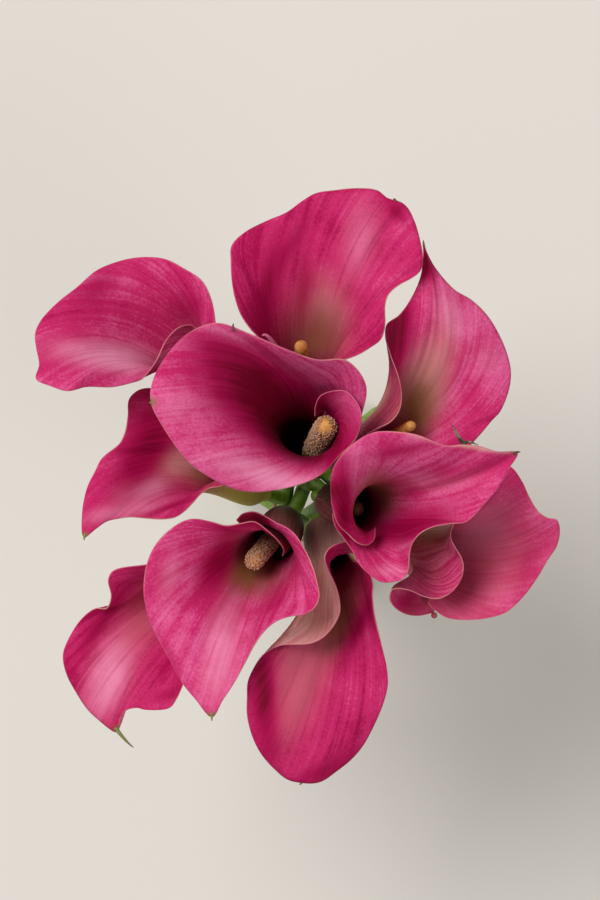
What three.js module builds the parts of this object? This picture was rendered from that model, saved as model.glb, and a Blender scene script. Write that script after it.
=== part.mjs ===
// A hand-tied bunch of ten calla lilies, standing unheld on its ten cut stems.
// Millimetres, +Z up; the stems stand on z = 0.
import * as THREE from 'three';
import { mergeVertices } from 'three/addons/utils/BufferGeometryUtils.js';

// ---- Driving dimensions, mm ----
const EYE_HEIGHT = 1500;       // height from which the plan x and y below were read
const PLAN_HEIGHT = 300;       // height at which a plan millimetre is a true millimetre

const SPATHE_WALL = 0.8;
const NECK_RADIUS = 4.8;       // mean radius of the sleeve that grips the stem
const MARGIN_STEP = 1.1;       // how far each overlapping margin leaves the mean radius
const NECK_FLARE = 24;         // degrees, opening angle of the tube at the neck
const TUBE_FLARE = 12;         // degrees, opening angle of the tube at its mouth
const RIM_CURL = 14;           // degrees, extra outward roll at the rim
const PROFILE_HANDLE = 0.36;   // handle of a profile's curve, as a share of its chord
const EVENING_PASSES = 6;      // how far the rim's folds are evened out at the throat
const EVENNESS = 0.45;         // share of equal spacing in the throat's own spacing
const COLUMNS = 28;            // strips round a spathe
const TUBE_ROWS = 3;           // strips up the rolled tube
const LIMB_ROWS = 7;           // strips from the tube's mouth to the rim

const SPADIX_SIDES = 10;
const STEM_RADIUS_TOP = 3.0;
const STEM_RADIUS_FOOT = 3.9;
const STEM_SIDES = 8;
const STEM_STEPS = 14;
const STEM_BEND = 0.4;         // handle of a stem's bend, as a share of its reach
const STEM_INSET = 2;          // how far the stem's top reaches into the sleeve
const SPADIX_LIFT = 0.8;       // from the stem's top to the spadix

const TIE_HEIGHT = 150;        // middle of the binding
const TIE_WIDTH = 14;
const TIE_WALL = 1.8;
const TIE_ROUNDING = 0.6;      // bevel of the binding's two outer edges
const TIE_SIDES = 32;
const TIE_SLACK = 0.7;         // clearance round the stems, which cross it aslant
const TIE_PLAN = [5, -19];     // plan position of the binding's centre
const INNER_RING = 5.2;        // distance of the stem centres from it, at the binding
const OUTER_RING = 12;
const INNER_SLOPE = 0.16;      // sideways run of a spiralled stem for each mm of height
const OUTER_SLOPE = 0.33;
const INNER_LEAD = 60;         // degrees from a stem's place in the binding to its flower
const OUTER_LEAD = 45;

// ---- The ten flowers ----
// base, throat: [plan x, plan y, height] of the two ends of the rolled tube's axis.
// mouth: radius of the tube at the throat. spadix: plan place and height of its tip.
// rim: [plan x, plan y, height above the throat along the tube], from the outer margin
// round the limb to the inner margin. A fourth number adds to the rim's curl, in degrees.
const FLOWERS = [
  {
    name: '01', ring: 'inner', base: [2, -8, 226], throat: [3.4, 7.4, 264], mouth: 12,
    spadix: { tip: [11, 10.8, 273], radius: 4.6 },
    rim: [
      [24, 11, 12], [26.4, 25.6, 26], [18.8, 35.6, 36], [6.4, 36, 42], [-7.2, 40.8, 50],
      [-21.2, 46.8, 56], [-33.6, 50.8, 60], [-45.2, 46.4, 61], [-54.4, 36.4, 60],
      [-59.2, 26.8, 58], [-59.6, 18.8, 56], [-54.8, 9.2, 50], [-46, -3.2, 42],
      [-38.4, -9.6, 36], [-23.2, -16.4, 26], [-7.2, -15.6, 20], [7.6, -10.4, 17],
      [16, -2, 16], [22.4, 4.8, 17], [24.4, 15.2, 21], [18.8, 23.2, 23], [14, 23.6, 22],
      [8.4, 21.6, 18], [6.4, 17.6, 13], [6, 13.2, 8],
    ],
  },
  {
    name: '02', ring: 'inner', base: [10, -19, 218], throat: [28.6, -23.8, 258], mouth: 10.5,
    spadix: { tip: [24, -24, 247], radius: 3.4 },
    rim: [
      [13.6, -22, 4], [13, -26.4, 6], [14, -30.6, 9], [17.6, -35.6, 13], [20.8, -40, 16], [23.2, -44.8, 18],
      [27.6, -49.6, 20], [32.4, -52.8, 22], [37.2, -52.8, 24], [41.2, -51.6, 25],
      [43.2, -47.6, 27], [43.6, -42, 29], [44.8, -37.2, 31], [48, -33.2, 33],
      [53.6, -30.4, 36], [60.4, -29.2, 39], [66.8, -28.4, 41], [74.4, -20.8, 45],
      [79.2, -15.2, 48], [84, -6.8, 50], [87.2, -1.2, 50], [79.2, -0.8, 52],
      [72.4, 1.2, 51], [65.6, 2, 50], [58.4, 1.6, 48], [46.8, 6, 45], [38.4, 7.2, 41],
      [30.8, 7.2, 37], [26, 5.6, 34], [20.8, 2, 31], [16, -2.8, 28], [12.8, -8.8, 25],
      [12.4, -18.4, 21], [13.2, -24, 20], [15.2, -29.6, 19], [19.2, -33.6, 18],
      [23.2, -37.2, 18], [26.8, -38, 17], [29.6, -35.6, 14], [30, -30.8, 8],
    ],
  },
  {
    name: '03', ring: 'inner', base: [-5, -28, 216], throat: [-13, -40, 256], mouth: 10.5,
    spadix: { tip: [-19.2, -45.2, 268], radius: 3.8 },
    rim: [
      [-25.6, -28, 10], [-23.2, -25.6, 14], [-18.4, -24.8, 18], [-14.4, -26.4, 20],
      [-9.6, -29.2, 22], [-6, -30.8, 24], [-2, -34, 26], [1.6, -39.6, 28],
      [4.8, -46.4, 31], [6.8, -53.2, 34], [7.6, -58.8, 36], [5.6, -63.2, 38],
      [1.6, -65.6, 39], [-4, -66.4, 40], [-9.6, -68.4, 41], [-14.4, -72.4, 43],
      [-18.4, -78, 45], [-22, -84.8, 47], [-26, -92.4, 50], [-30.8, -100, 52],
      [-35.2, -107, 54], [-42, -99.6, 52], [-47.2, -93.2, 51], [-52.8, -82.8, 50],
      [-57.6, -74, 48], [-60.8, -66.4, 47], [-62.4, -58.8, 46], [-62.4, -52, 45],
      [-61.2, -45.2, 44], [-58.4, -38.8, 42], [-53.6, -33.2, 40], [-47.2, -28.8, 38],
      [-42.4, -27.6, 36], [-35.6, -28.8, 33], [-29.6, -30.4, 30], [-24, -29.6, 27],
      [-18.4, -28.8, 25], [-13.6, -32, 24], [-9.6, -35.6, 22], [-6.8, -39.6, 18],
      [-7.2, -42.4, 13],
    ],
  },
  {
    name: '04', ring: 'outer', base: [-22, 14, 216], throat: [-46, 38, 246], mouth: 10.5,
    spadix: { tip: [-47, 38.5, 249], radius: 3.6 },
    rim: [
      [-38, 38, 4], [-34, 44.5, 9], [-34, 51.6, 14], [-35.6, 60.4, 19], [-39.2, 67.6, 24],
      [-46.8, 72.8, 29], [-54, 76.4, 33], [-62.4, 77.2, 36], [-70.8, 76, 38],
      [-81.2, 72, 42], [-89.2, 65.2, 45], [-96.8, 59.2, 48], [-103.6, 52, 50],
      [-106, 46.8, 50], [-105.6, 40.8, 50], [-104.4, 34, 50], [-105.6, 28.4, 50],
      [-99.6, 25.6, 46], [-92.8, 23.6, 42], [-85.2, 25.2, 36], [-75.2, 25.2, 28],
      [-68, 26.8, 23, -5], [-63.6, 28.4, 20, -15], [-60, 32.4, 20, -22],
      [-56.8, 37.6, 21, -22], [-54, 43.6, 22, -15], [-49.2, 48.8, 21, -5],
      [-44, 50.2, 17], [-40.6, 48.6, 13],
    ],
  },
  {
    name: '05', ring: 'outer', base: [4, 2, 210], throat: [2, 33, 250], mouth: 11,
    spadix: { tip: [0.4, 42.8, 274], radius: 3.1 },
    rim: [
      [-4.5, 27.5, 7], [-9.2, 33.5, 14], [-13, 39.5, 21], [-15.8, 44.4, 27],
      [-19.6, 48.4, 31],
      [-23.6, 54.4, 35], [-26, 61.2, 40], [-27.2, 68, 45], [-27.6, 76, 50],
      [-27.2, 82, 52], [-22, 87.2, 54], [-13.6, 91.6, 56], [-5.2, 95.2, 58],
      [0.8, 99.6, 60], [6.4, 102.8, 61], [14, 104, 62], [23.2, 104.8, 62],
      [30.8, 104, 62], [35.2, 100.8, 62], [40.4, 99.2, 61], [43.2, 96.8, 58],
      [46, 91.2, 55], [48, 84.4, 51], [49.2, 77.2, 48], [48.4, 72, 44], [44.4, 68.8, 43],
      [39.2, 66, 42], [35.2, 62, 40], [34, 57.6, 38], [34, 50, 33], [32.4, 44.4, 29],
      [27.6, 40.8, 26], [21.6, 37.6, 24], [14, 35.6, 22], [6.4, 35.6, 21],
      [0, 37, 21], [-4.5, 38.7, 19], [-8, 40.2, 16], [-9.5, 42, 12],
    ],
  },
  {
    name: '06', ring: 'outer', base: [14, -6, 206], throat: [35, 5, 242], mouth: 10.5,
    spadix: { tip: [45.4, 10.2, 262], radius: 2.4 },
    rim: [
      [32.3, -7.2, 5], [27.5, -5, 10], [25, 0, 14], [26, 5.4, 17], [30.8, 8.4, 20],
      [36.4, 11.2, 23], [40, 16, 25], [40.8, 22.4, 28], [39.6, 29.2, 31],
      [36.4, 38, 33], [34, 46.8, 35], [34.8, 50.4, 37], [39.6, 54, 40], [44, 60, 43],
      [48, 68.8, 47], [49.2, 76.4, 50], [49.4, 82.8, 52], [50.8, 79.2, 52],
      [54, 73.2, 51], [61.6, 64.4, 50], [68.8, 60, 49], [75.2, 53.6, 48],
      [80, 45.6, 46], [82.8, 38.8, 44], [84.4, 31.6, 42], [83.6, 24, 39],
      [80, 15.2, 35], [77, 12, 32], [72, 6, 28], [66, 0, 22], [58, -5, 17], [49, -8, 14],
      [42, -7, 12], [37, -3, 11], [34.5, 2, 8],
    ],
  },
  {
    name: '07', ring: 'outer', base: [31, -31, 206], throat: [54, -41.5, 236], mouth: 12.5,
    spadix: { tip: [57, -44.5, 244], radius: 3.4 },
    rim: [
      [53.2, -65.2, 6], [46.8, -66.4, 10, -15], [41.2, -65.2, 15, -35],
      [37.2, -62, 17, -50], [36, -59.2, 18, -55], [36.8, -56.2, 19, -60],
      [39.2, -55.6, 20, -55], [44, -56.4, 21, -45], [49.6, -58.8, 22, -30],
      [55.2, -59.6, 24, -15], [60.4, -57.2, 26], [64, -52.8, 27],
      [65.6, -47.6, 28], [64.8, -43.2, 28], [62, -38.4, 27], [60.4, -34.4, 26],
      [62, -28, 25], [66, -20, 25], [71, -12, 26], [77, -6, 28], [84, -6.4, 30],
      [88.8, -12.4, 33], [91.6, -18.4, 36], [95.6, -24.8, 39], [99.2, -27.2, 41],
      [102.8, -28, 43], [104, -32.4, 43], [102.8, -38.4, 42], [99.2, -44, 40],
      [95.2, -50.8, 38], [89.6, -58.4, 35], [82.8, -64.8, 31], [75.6, -67.2, 27],
      [67.6, -68, 22], [59.2, -67.2, 17], [54, -64, 14], [51.2, -61.2, 14],
    ],
  },
  {
    name: '08', ring: 'outer', base: [8, -30, 206], throat: [14.5, -49, 242], mouth: 10,
    spadix: { tip: [11.9, -42, 231], radius: 3.2 },
    rim: [
      [26, -41, 5], [23, -36.5, 11], [19.2, -36.6, 16], [14, -38, 20], [11.2, -40, 22],
      [10, -43.2, 24], [11.6, -48.4, 26], [14.4, -54.4, 30], [16, -60.4, 33],
      [16, -65.2, 35, -5], [13.6, -70.4, 37, -10], [9.2, -75.2, 38, -15], [4, -77.6, 39, -22],
      [-2.8, -78, 40, -28], [-8, -78.4, 41, -24], [-13.6, -81.2, 42, -16], [-18, -86.4, 44, -8],
      [-20.8, -92.4, 47], [-21.2, -98.8, 49], [-21.2, -106.4, 51], [-19.2, -114.4, 53],
      [-15.6, -121.6, 55], [-10, -128, 56], [-4.8, -132, 57], [0.4, -133.2, 58],
      [5.6, -133.4, 58], [9.2, -132.4, 57], [14.4, -128.8, 56], [20.4, -124, 54],
      [25.2, -118.4, 51], [29.6, -110.4, 48], [33.6, -100.8, 44], [35.2, -93.2, 40],
      [34.4, -85.2, 36], [32.4, -77.2, 31], [30.4, -69.2, 27], [29.2, -62.4, 24],
      [28.8, -58, 22], [29, -53, 20], [27, -48, 16], [22.5, -44.5, 10],
    ],
  },
  {
    name: '09', ring: 'outer', base: [-18, -38, 206], throat: [-43, -57, 236], mouth: 10.5,
    spadix: { tip: [-52, -66, 248], radius: 3.6 },
    rim: [
      [-38.4, -54, 5], [-42.5, -49.5, 9], [-50, -44.5, 14], [-61.6, -46, 20],
      [-74.8, -48.4, 28], [-76.8, -52, 30], [-75.6, -58.8, 30], [-77.6, -63.6, 32],
      [-82, -63.6, 34], [-88.4, -68.8, 38], [-94.4, -79.6, 43], [-94.8, -84.4, 44],
      [-93.2, -90.4, 46], [-90, -96.4, 47], [-85.6, -103.2, 49], [-81.2, -107.6, 50],
      [-73.4, -113, 50], [-72.4, -108, 49], [-70, -104.4, 47], [-65.6, -103.2, 45],
      [-61.6, -104, 44], [-52.4, -103.2, 41], [-49.6, -99.6, 39], [-46.8, -93.6, 36],
      [-42, -84, 30], [-39.5, -75, 23], [-41.5, -65.4, 16], [-44.3, -58.4, 12],
      [-46.2, -53.4, 8],
    ],
  },
  {
    name: '10', ring: 'outer', base: [-14, -17, 214], throat: [-35, -7, 240], mouth: 10,
    spadix: { tip: [-40, -5, 247], radius: 3.4 },
    rim: [
      [-25.6, -3.4, 6], [-25.8, -7.6, 8], [-28, -12, 11], [-32, -14.4, 14],
      [-36.4, -15.2, 16], [-40, -17.6, 18], [-42.8, -20.8, 20], [-46, -24.2, 22],
      [-50, -26.8, 25], [-55.6, -27.6, 28], [-62.4, -27.2, 32], [-68.4, -26.8, 36],
      [-73.6, -27.6, 39], [-77.6, -28.8, 42], [-81.6, -31.6, 45], [-86.4, -35, 48],
      [-87.2, -25.2, 47], [-85.2, -15, 45], [-82, -8.4, 43],
      [-79.2, -3.2, 41], [-72.4, 2.4, 38], [-70, 7.2, 37], [-68.8, 14, 36],
      [-68.4, 20.4, 35], [-64.6, 24, 33], [-59.2, 24.8, 30], [-50, 22, 25],
      [-40, 16.5, 19], [-32, 8, 14], [-29.5, -1, 9], [-32.5, -7.5, 5],
    ],
  },
];

const SPATHE_LOOK = { color: 0xc2266d, roughness: 0.5, metalness: 0 };
const SPADIX_LOOK = { color: 0xd29a3c, roughness: 0.8, metalness: 0 };
const STEM_LOOK = { color: 0x5d8a2c, roughness: 0.55, metalness: 0 };
const TIE_LOOK = { color: 0xb79a63, roughness: 0.9, metalness: 0 };

// ---- Frames and curves ----
const { degToRad, lerp, smoothstep } = THREE.MathUtils;
const UP = new THREE.Vector3(0, 0, 1);
const PLAN_SPAN = EYE_HEIGHT - PLAN_HEIGHT;

// A point read in plan from the eye height, at its true place for the height z.
function fromPlan([x, y, z]) {
  const scale = (EYE_HEIGHT - z) / PLAN_SPAN;
  return new THREE.Vector3(x * scale, y * scale, z);
}

// The tube's own frame: the axis, a level side direction, and back, which points up
// and towards the middle of the bunch.
function tubeFrame(flower) {
  const base = fromPlan(flower.base);
  const throat = fromPlan(flower.throat);
  const axis = throat.clone().sub(base);
  const length = axis.length();
  axis.normalize();
  const side = new THREE.Vector3().crossVectors(UP, axis).normalize();
  const back = new THREE.Vector3().crossVectors(axis, side);
  return { base, throat, axis, side, back, length };
}

// The height z puts a rim point, known in plan, at the given height along the axis.
function rimPoint([x, y, rise], frame) {
  const { axis, throat } = frame;
  const lean = x * axis.x + y * axis.y;
  const level = rise + throat.dot(axis) - (lean * EYE_HEIGHT) / PLAN_SPAN;
  return fromPlan([x, y, level / (axis.z - lean / PLAN_SPAN)]);
}

// A point as { angle, radius, rise } round the tube's axis, the angle carried on from
// the one before.
function roundAxis(point, frame, before) {
  const spoke = point.clone().sub(frame.throat);
  const across = spoke.dot(frame.side);
  const upward = spoke.dot(frame.back);
  const turn = 2 * Math.PI;
  const angle = Math.atan2(upward, across);
  return {
    angle: angle - turn * Math.round((angle - before) / turn),
    radius: Math.hypot(across, upward),
    rise: spoke.dot(frame.axis),
  };
}

// The angles of the rim's own points, evened out for the throat, where folds die away.
function throatAngles(points, frame) {
  let angles = [];
  for (const point of points) {
    angles.push(roundAxis(point, frame, angles.at(-1) ?? 0).angle);
  }
  const last = angles.length - 1;
  for (let pass = 0; pass < EVENING_PASSES; pass += 1) {
    angles = angles.map((angle, k) => {
      const atMargin = k === 0 || k === last;
      return atMargin ? angle : (angles[k - 1] + 2 * angle + angles[k + 1]) / 4;
    });
  }
  return angles.map((angle, k) => {
    const even = lerp(angles[0], angles[last], k / last);
    return lerp(angle, even, EVENNESS);
  });
}

// The rim as stations from margin to margin: its own place round the axis, and the
// place in the throat that it grows from.
function rimStations(flower, frame, count) {
  const points = flower.rim.map((p) => rimPoint(p, frame));
  const curve = new THREE.CatmullRomCurve3(points);
  const angles = throatAngles(points, frame);
  const last = points.length - 1;
  const along = (list, t) => {
    const k = Math.min(Math.floor(t * last), last - 1);
    return lerp(list[k], list[k + 1], t * last - k);
  };
  const curls = flower.rim.map((p) => p[3] ?? 0);
  const stations = [];
  let before = angles[0];
  for (let i = 0; i <= count; i += 1) {
    const t = i / count;
    const rim = roundAxis(curve.getPoint(t), frame, before);
    before = rim.angle;
    stations.push({ ...rim, throatAngle: along(angles, t), curl: along(curls, t) });
  }
  return stations;
}

// A cubic from one (radius, rise) point to another, leaving and arriving at the given
// angles from the tube's axis.
function profilePoint(from, to, leave, arrive, t) {
  const handle = PROFILE_HANDLE * Math.hypot(to[0] - from[0], to[1] - from[1]);
  const curve = new THREE.CubicBezierCurve(
    new THREE.Vector2(from[0], from[1]),
    new THREE.Vector2(from[0] + handle * Math.sin(leave), from[1] + handle * Math.cos(leave)),
    new THREE.Vector2(to[0] - handle * Math.sin(arrive), to[1] - handle * Math.cos(arrive)),
    new THREE.Vector2(to[0], to[1]),
  );
  return curve.getPoint(t);
}

// Radius and rise of the spathe's inner face at one station, row by row.
function profileAt(station, share, flower, frame) {
  const step = MARGIN_STEP * (1 - 2 * share);
  const neck = [NECK_RADIUS + step, -frame.length];
  const mouth = [flower.mouth + step, 0];
  const rim = [station.radius, station.rise];
  const flare = degToRad(TUBE_FLARE);
  const chord = Math.atan2(rim[0] - mouth[0], rim[1]);
  const arrive = 2 * chord - flare + degToRad(RIM_CURL + station.curl);
  const rows = [];
  for (let j = 0; j < TUBE_ROWS; j += 1) {
    rows.push(profilePoint(neck, mouth, degToRad(NECK_FLARE), flare, j / TUBE_ROWS));
  }
  for (let j = 0; j <= LIMB_ROWS; j += 1) {
    rows.push(profilePoint(mouth, rim, flare, arrive, j / LIMB_ROWS));
  }
  return rows;
}

function innerFace(flower, frame) {
  const stations = rimStations(flower, frame, COLUMNS);
  return stations.map((station, i) => profileAt(station, i / COLUMNS, flower, frame).map(
    (p, j) => {
      const share = Math.max(0, j - TUBE_ROWS) / LIMB_ROWS;
      const angle = lerp(station.throatAngle, station.angle, smoothstep(share, 0, 1));
      return frame.throat.clone()
        .addScaledVector(frame.side, p.x * Math.cos(angle))
        .addScaledVector(frame.back, p.x * Math.sin(angle))
        .addScaledVector(frame.axis, p.y);
    },
  ));
}

// The outer face lies one wall outside the inner face, along its smooth normals. The
// rim may be listed either way round, so the neck's first normal decides the side.
function outerFace(inner, frame) {
  const columns = inner.length - 1;
  const rows = inner[0].length - 1;
  const normalAt = (i, j) => {
    const round = inner[Math.min(i + 1, columns)][j].clone()
      .sub(inner[Math.max(i - 1, 0)][j]);
    const rising = inner[i][Math.min(j + 1, rows)].clone()
      .sub(inner[i][Math.max(j - 1, 0)]);
    return round.cross(rising).normalize();
  };
  const outward = Math.sign(normalAt(0, 0).dot(inner[0][0].clone().sub(frame.base)));
  return inner.map((column, i) => column.map(
    (point, j) => point.clone().addScaledVector(normalAt(i, j), outward * SPATHE_WALL),
  ));
}

// A closed thin sheet from two matching grids of points.
function sheetGeometry(inner, outer) {
  const columns = inner.length;
  const rows = inner[0].length;
  const points = [...inner.flat(), ...outer.flat()];
  const half = columns * rows;
  const index = [];
  const quad = (a, b, c, d) => index.push(a, b, c, a, c, d);
  const at = (i, j) => i * rows + j;
  for (let i = 0; i < columns - 1; i += 1) {
    for (let j = 0; j < rows - 1; j += 1) {
      const [a, b, c, d] = [at(i, j), at(i + 1, j), at(i + 1, j + 1), at(i, j + 1)];
      index.push(a, c, b, a, d, c);
      quad(half + a, half + b, half + c, half + d);
    }
    quad(at(i, rows - 1), half + at(i, rows - 1), half + at(i + 1, rows - 1),
      at(i + 1, rows - 1));
    quad(at(i, 0), at(i + 1, 0), half + at(i + 1, 0), half + at(i, 0));
  }
  for (let j = 0; j < rows - 1; j += 1) {
    quad(at(0, j), half + at(0, j), half + at(0, j + 1), at(0, j + 1));
    const end = columns - 1;
    quad(at(end, j), at(end, j + 1), half + at(end, j + 1), half + at(end, j));
  }
  const geometry = new THREE.BufferGeometry().setFromPoints(points);
  geometry.setIndex(index);
  return geometry;
}

// Turns the faces round where the volume they close comes out negative.
function facingOut(geometry) {
  const place = geometry.attributes.position;
  const index = geometry.index.array;
  const corner = (k) => new THREE.Vector3().fromBufferAttribute(place, index[k]);
  let volume = 0;
  for (let k = 0; k < index.length; k += 3) {
    volume += corner(k).dot(corner(k + 1).cross(corner(k + 2)));
  }
  if (volume < 0) {
    for (let k = 0; k < index.length; k += 3) {
      [index[k], index[k + 1]] = [index[k + 1], index[k]];
    }
  }
  geometry.computeVertexNormals();
  return geometry;
}

function finished(name, geometry, look) {
  const mesh = new THREE.Mesh(geometry, new THREE.MeshStandardMaterial(look));
  mesh.name = name;
  return mesh;
}

// ---- Pieces ----
function makeSpathe(flower) {
  const frame = tubeFrame(flower);
  const inner = innerFace(flower, frame);
  const geometry = facingOut(sheetGeometry(inner, outerFace(inner, frame)));
  return finished(`spathe_${flower.name}`, geometry, SPATHE_LOOK);
}

// The spadix stands on the stem's top and leans to its own side of the tube.
function makeSpadix(flower) {
  const frame = tubeFrame(flower);
  const foot = frame.base.clone().addScaledVector(frame.axis, STEM_INSET + SPADIX_LIFT);
  const reach = fromPlan(flower.spadix.tip).sub(foot);
  const length = reach.length();
  const radius = flower.spadix.radius;
  const profile = [
    [0, 0], [0.55 * radius, 0], [0.8 * radius, 0.12 * length], [radius, 0.4 * length],
    [0.95 * radius, length - 1.6 * radius], [0.72 * radius, length - 0.7 * radius],
    [0.4 * radius, length - 0.2 * radius], [0, length],
  ];
  const lathe = new THREE.LatheGeometry(
    profile.map(([r, z]) => new THREE.Vector2(r, z)), SPADIX_SIDES);
  const mesh = finished(`spadix_${flower.name}`, lathe, SPADIX_LOOK);
  mesh.quaternion.setFromUnitVectors(new THREE.Vector3(0, 1, 0), reach.normalize());
  mesh.position.copy(foot);
  return mesh;
}

// A stem runs straight from its cut foot to the binding, aslant, and then bends into
// the line of its flower's tube.
function stemPath(flower) {
  const frame = tubeFrame(flower);
  const centre = fromPlan([...TIE_PLAN, TIE_HEIGHT]);
  const outward = frame.base.clone().sub(centre);
  const inner = flower.ring === 'inner';
  const lead = degToRad(inner ? INNER_LEAD : OUTER_LEAD);
  const angle = Math.atan2(outward.y, outward.x) - lead;
  const ring = inner ? INNER_RING : OUTER_RING;
  const slope = inner ? INNER_SLOPE : OUTER_SLOPE;
  const spoke = new THREE.Vector3(Math.cos(angle), Math.sin(angle), 0);
  const run = new THREE.Vector3(-slope * Math.sin(angle), slope * Math.cos(angle), 1);
  const tied = centre.clone().addScaledVector(spoke, ring);
  const foot = tied.clone().addScaledVector(run, -TIE_HEIGHT);
  const clear = tied.clone().addScaledVector(run, TIE_WIDTH);
  const top = frame.base.clone().addScaledVector(frame.axis, STEM_INSET);
  const bend = STEM_BEND * top.distanceTo(clear);
  const path = new THREE.CurvePath();
  path.add(new THREE.LineCurve3(foot, clear));
  path.add(new THREE.CubicBezierCurve3(
    clear,
    clear.clone().addScaledVector(run.clone().normalize(), bend),
    top.clone().addScaledVector(frame.axis, -bend),
    top,
  ));
  return path;
}

function makeStem(flower) {
  const path = stemPath(flower);
  const section = new THREE.Shape();
  for (let k = 0; k < STEM_SIDES; k += 1) {
    const angle = (2 * Math.PI * k) / STEM_SIDES;
    const x = STEM_RADIUS_FOOT * Math.cos(angle);
    const y = STEM_RADIUS_FOOT * Math.sin(angle);
    if (k === 0) section.moveTo(x, y);
    else section.lineTo(x, y);
  }
  section.closePath();
  const tube = new THREE.ExtrudeGeometry(section, {
    steps: STEM_STEPS, extrudePath: path, bevelEnabled: false,
  });
  tube.deleteAttribute('normal');
  tube.deleteAttribute('uv');
  const geometry = mergeVertices(tube, 1e-3);
  taperStem(geometry, path);
  return finished(`stem_${flower.name}`, facingOut(geometry), STEM_LOOK);
}

// Narrows the tube towards the flower and cuts its foot level with the surface.
function taperStem(geometry, path) {
  const centres = path.getSpacedPoints(STEM_STEPS);
  const start = centres[1].clone().sub(centres[0]).normalize();
  const place = geometry.attributes.position;
  for (let k = 0; k < place.count; k += 1) {
    const point = new THREE.Vector3().fromBufferAttribute(place, k);
    const gaps = centres.map((centre) => centre.distanceTo(point));
    const step = gaps.indexOf(Math.min(...gaps));
    const size = lerp(1, STEM_RADIUS_TOP / STEM_RADIUS_FOOT, step / STEM_STEPS);
    point.sub(centres[step]).multiplyScalar(size).add(centres[step]);
    if (step === 0) point.addScaledVector(start, -point.z / start.z);
    place.setXYZ(k, point.x, point.y, point.z);
  }
}

// The binding is a ring of cord round the narrowest place of the bunch.
function makeTie() {
  const inside = OUTER_RING + STEM_RADIUS_FOOT + TIE_SLACK;
  const outside = inside + TIE_WALL;
  const half = TIE_WIDTH / 2;
  const bevel = TIE_ROUNDING;
  const profile = [
    [inside, -half], [outside - bevel, -half], [outside, bevel - half],
    [outside, half - bevel], [outside - bevel, half], [inside, half], [inside, -half],
  ].map(([r, z]) => new THREE.Vector2(r, z));
  const mesh = finished('tie', new THREE.LatheGeometry(profile, TIE_SIDES), TIE_LOOK);
  mesh.rotation.x = Math.PI / 2;
  mesh.position.copy(fromPlan([...TIE_PLAN, TIE_HEIGHT]));
  return mesh;
}

const bunch = new THREE.Group();
for (const flower of FLOWERS) {
  bunch.add(makeSpathe(flower), makeSpadix(flower), makeStem(flower));
}
bunch.add(makeTie());

// The origin is the middle of the bunch's own box, on the surface it stands on.
const box = new THREE.Box3().setFromObject(bunch);
const middle = box.getCenter(new THREE.Vector3());
bunch.position.set(-middle.x, -middle.y, 0);

export default bunch;
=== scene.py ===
# A hand-tied bunch of ten calla lilies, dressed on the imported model. Metres, Z up; the
# formulas below work in millimetres, as the model's own dimensions do.
import math
import random

import bmesh
import bpy
from mathutils import Matrix, Vector


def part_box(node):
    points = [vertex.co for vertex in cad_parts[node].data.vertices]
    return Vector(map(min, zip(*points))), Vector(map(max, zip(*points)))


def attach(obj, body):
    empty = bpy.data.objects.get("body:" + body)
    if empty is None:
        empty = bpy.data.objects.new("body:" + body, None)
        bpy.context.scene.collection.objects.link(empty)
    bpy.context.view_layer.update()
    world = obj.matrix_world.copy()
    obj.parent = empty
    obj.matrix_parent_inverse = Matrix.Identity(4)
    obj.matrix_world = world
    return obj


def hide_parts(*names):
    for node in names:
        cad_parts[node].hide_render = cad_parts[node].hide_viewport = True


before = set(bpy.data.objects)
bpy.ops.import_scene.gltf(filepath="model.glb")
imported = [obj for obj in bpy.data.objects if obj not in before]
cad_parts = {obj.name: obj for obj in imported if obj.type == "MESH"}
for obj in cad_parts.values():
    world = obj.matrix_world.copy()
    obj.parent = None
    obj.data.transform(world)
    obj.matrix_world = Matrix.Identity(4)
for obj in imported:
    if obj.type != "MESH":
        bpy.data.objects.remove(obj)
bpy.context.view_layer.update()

MM = 0.001

# ---- The model's driving dimensions, mm ----
EYE_HEIGHT = 1500.0      # height from which the plan x and y below were read
PLAN_HEIGHT = 300.0      # height at which a plan millimetre is a true millimetre
PLAN_SPAN = EYE_HEIGHT - PLAN_HEIGHT
SPATHE_WALL = 0.8
NECK_RADIUS = 4.8        # mean radius of the sleeve that grips the stem
MARGIN_STEP = 1.1        # how far each overlapping margin leaves the mean radius
NECK_FLARE = 24          # degrees, opening angle of the tube at the neck
TUBE_FLARE = 12          # degrees, opening angle of the tube at its mouth
RIM_CURL = 14            # degrees, extra outward roll at the rim
PROFILE_HANDLE = 0.36    # handle of a profile's curve, as a share of its chord
EVENING_PASSES = 6       # how far the rim's folds are evened out at the throat
EVENNESS = 0.45          # share of equal spacing in the throat's own spacing
STEM_RADIUS_TOP = 3.0
STEM_RADIUS_FOOT = 3.9
STEM_BEND = 0.4          # handle of a stem's bend, as a share of its reach
STEM_INSET = 2.0         # how far the stem's top reaches into the sleeve
SPADIX_LIFT = 0.8        # from the stem's top to the spadix
TIE_HEIGHT = 150.0       # middle of the binding
TIE_WIDTH = 14.0
TIE_WALL = 1.8
TIE_SLACK = 0.7          # clearance round the stems, which cross it aslant
TIE_PLAN = (5, -19)      # plan position of the binding's centre
INNER_RING = 5.2         # distance of the stem centres from it, at the binding
OUTER_RING = 12.0
INNER_SLOPE = 0.16       # sideways run of a spiralled stem for each mm of height
OUTER_SLOPE = 0.33
INNER_LEAD = 60          # degrees from a stem's place in the binding to its flower
OUTER_LEAD = 45

# ---- Fineness of the dressed pieces ----
COLUMNS = 176            # strips round a spathe
TUBE_ROWS = 16           # strips up the rolled tube
LIMB_ROWS = 44           # strips from the tube's mouth to the rim

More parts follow.
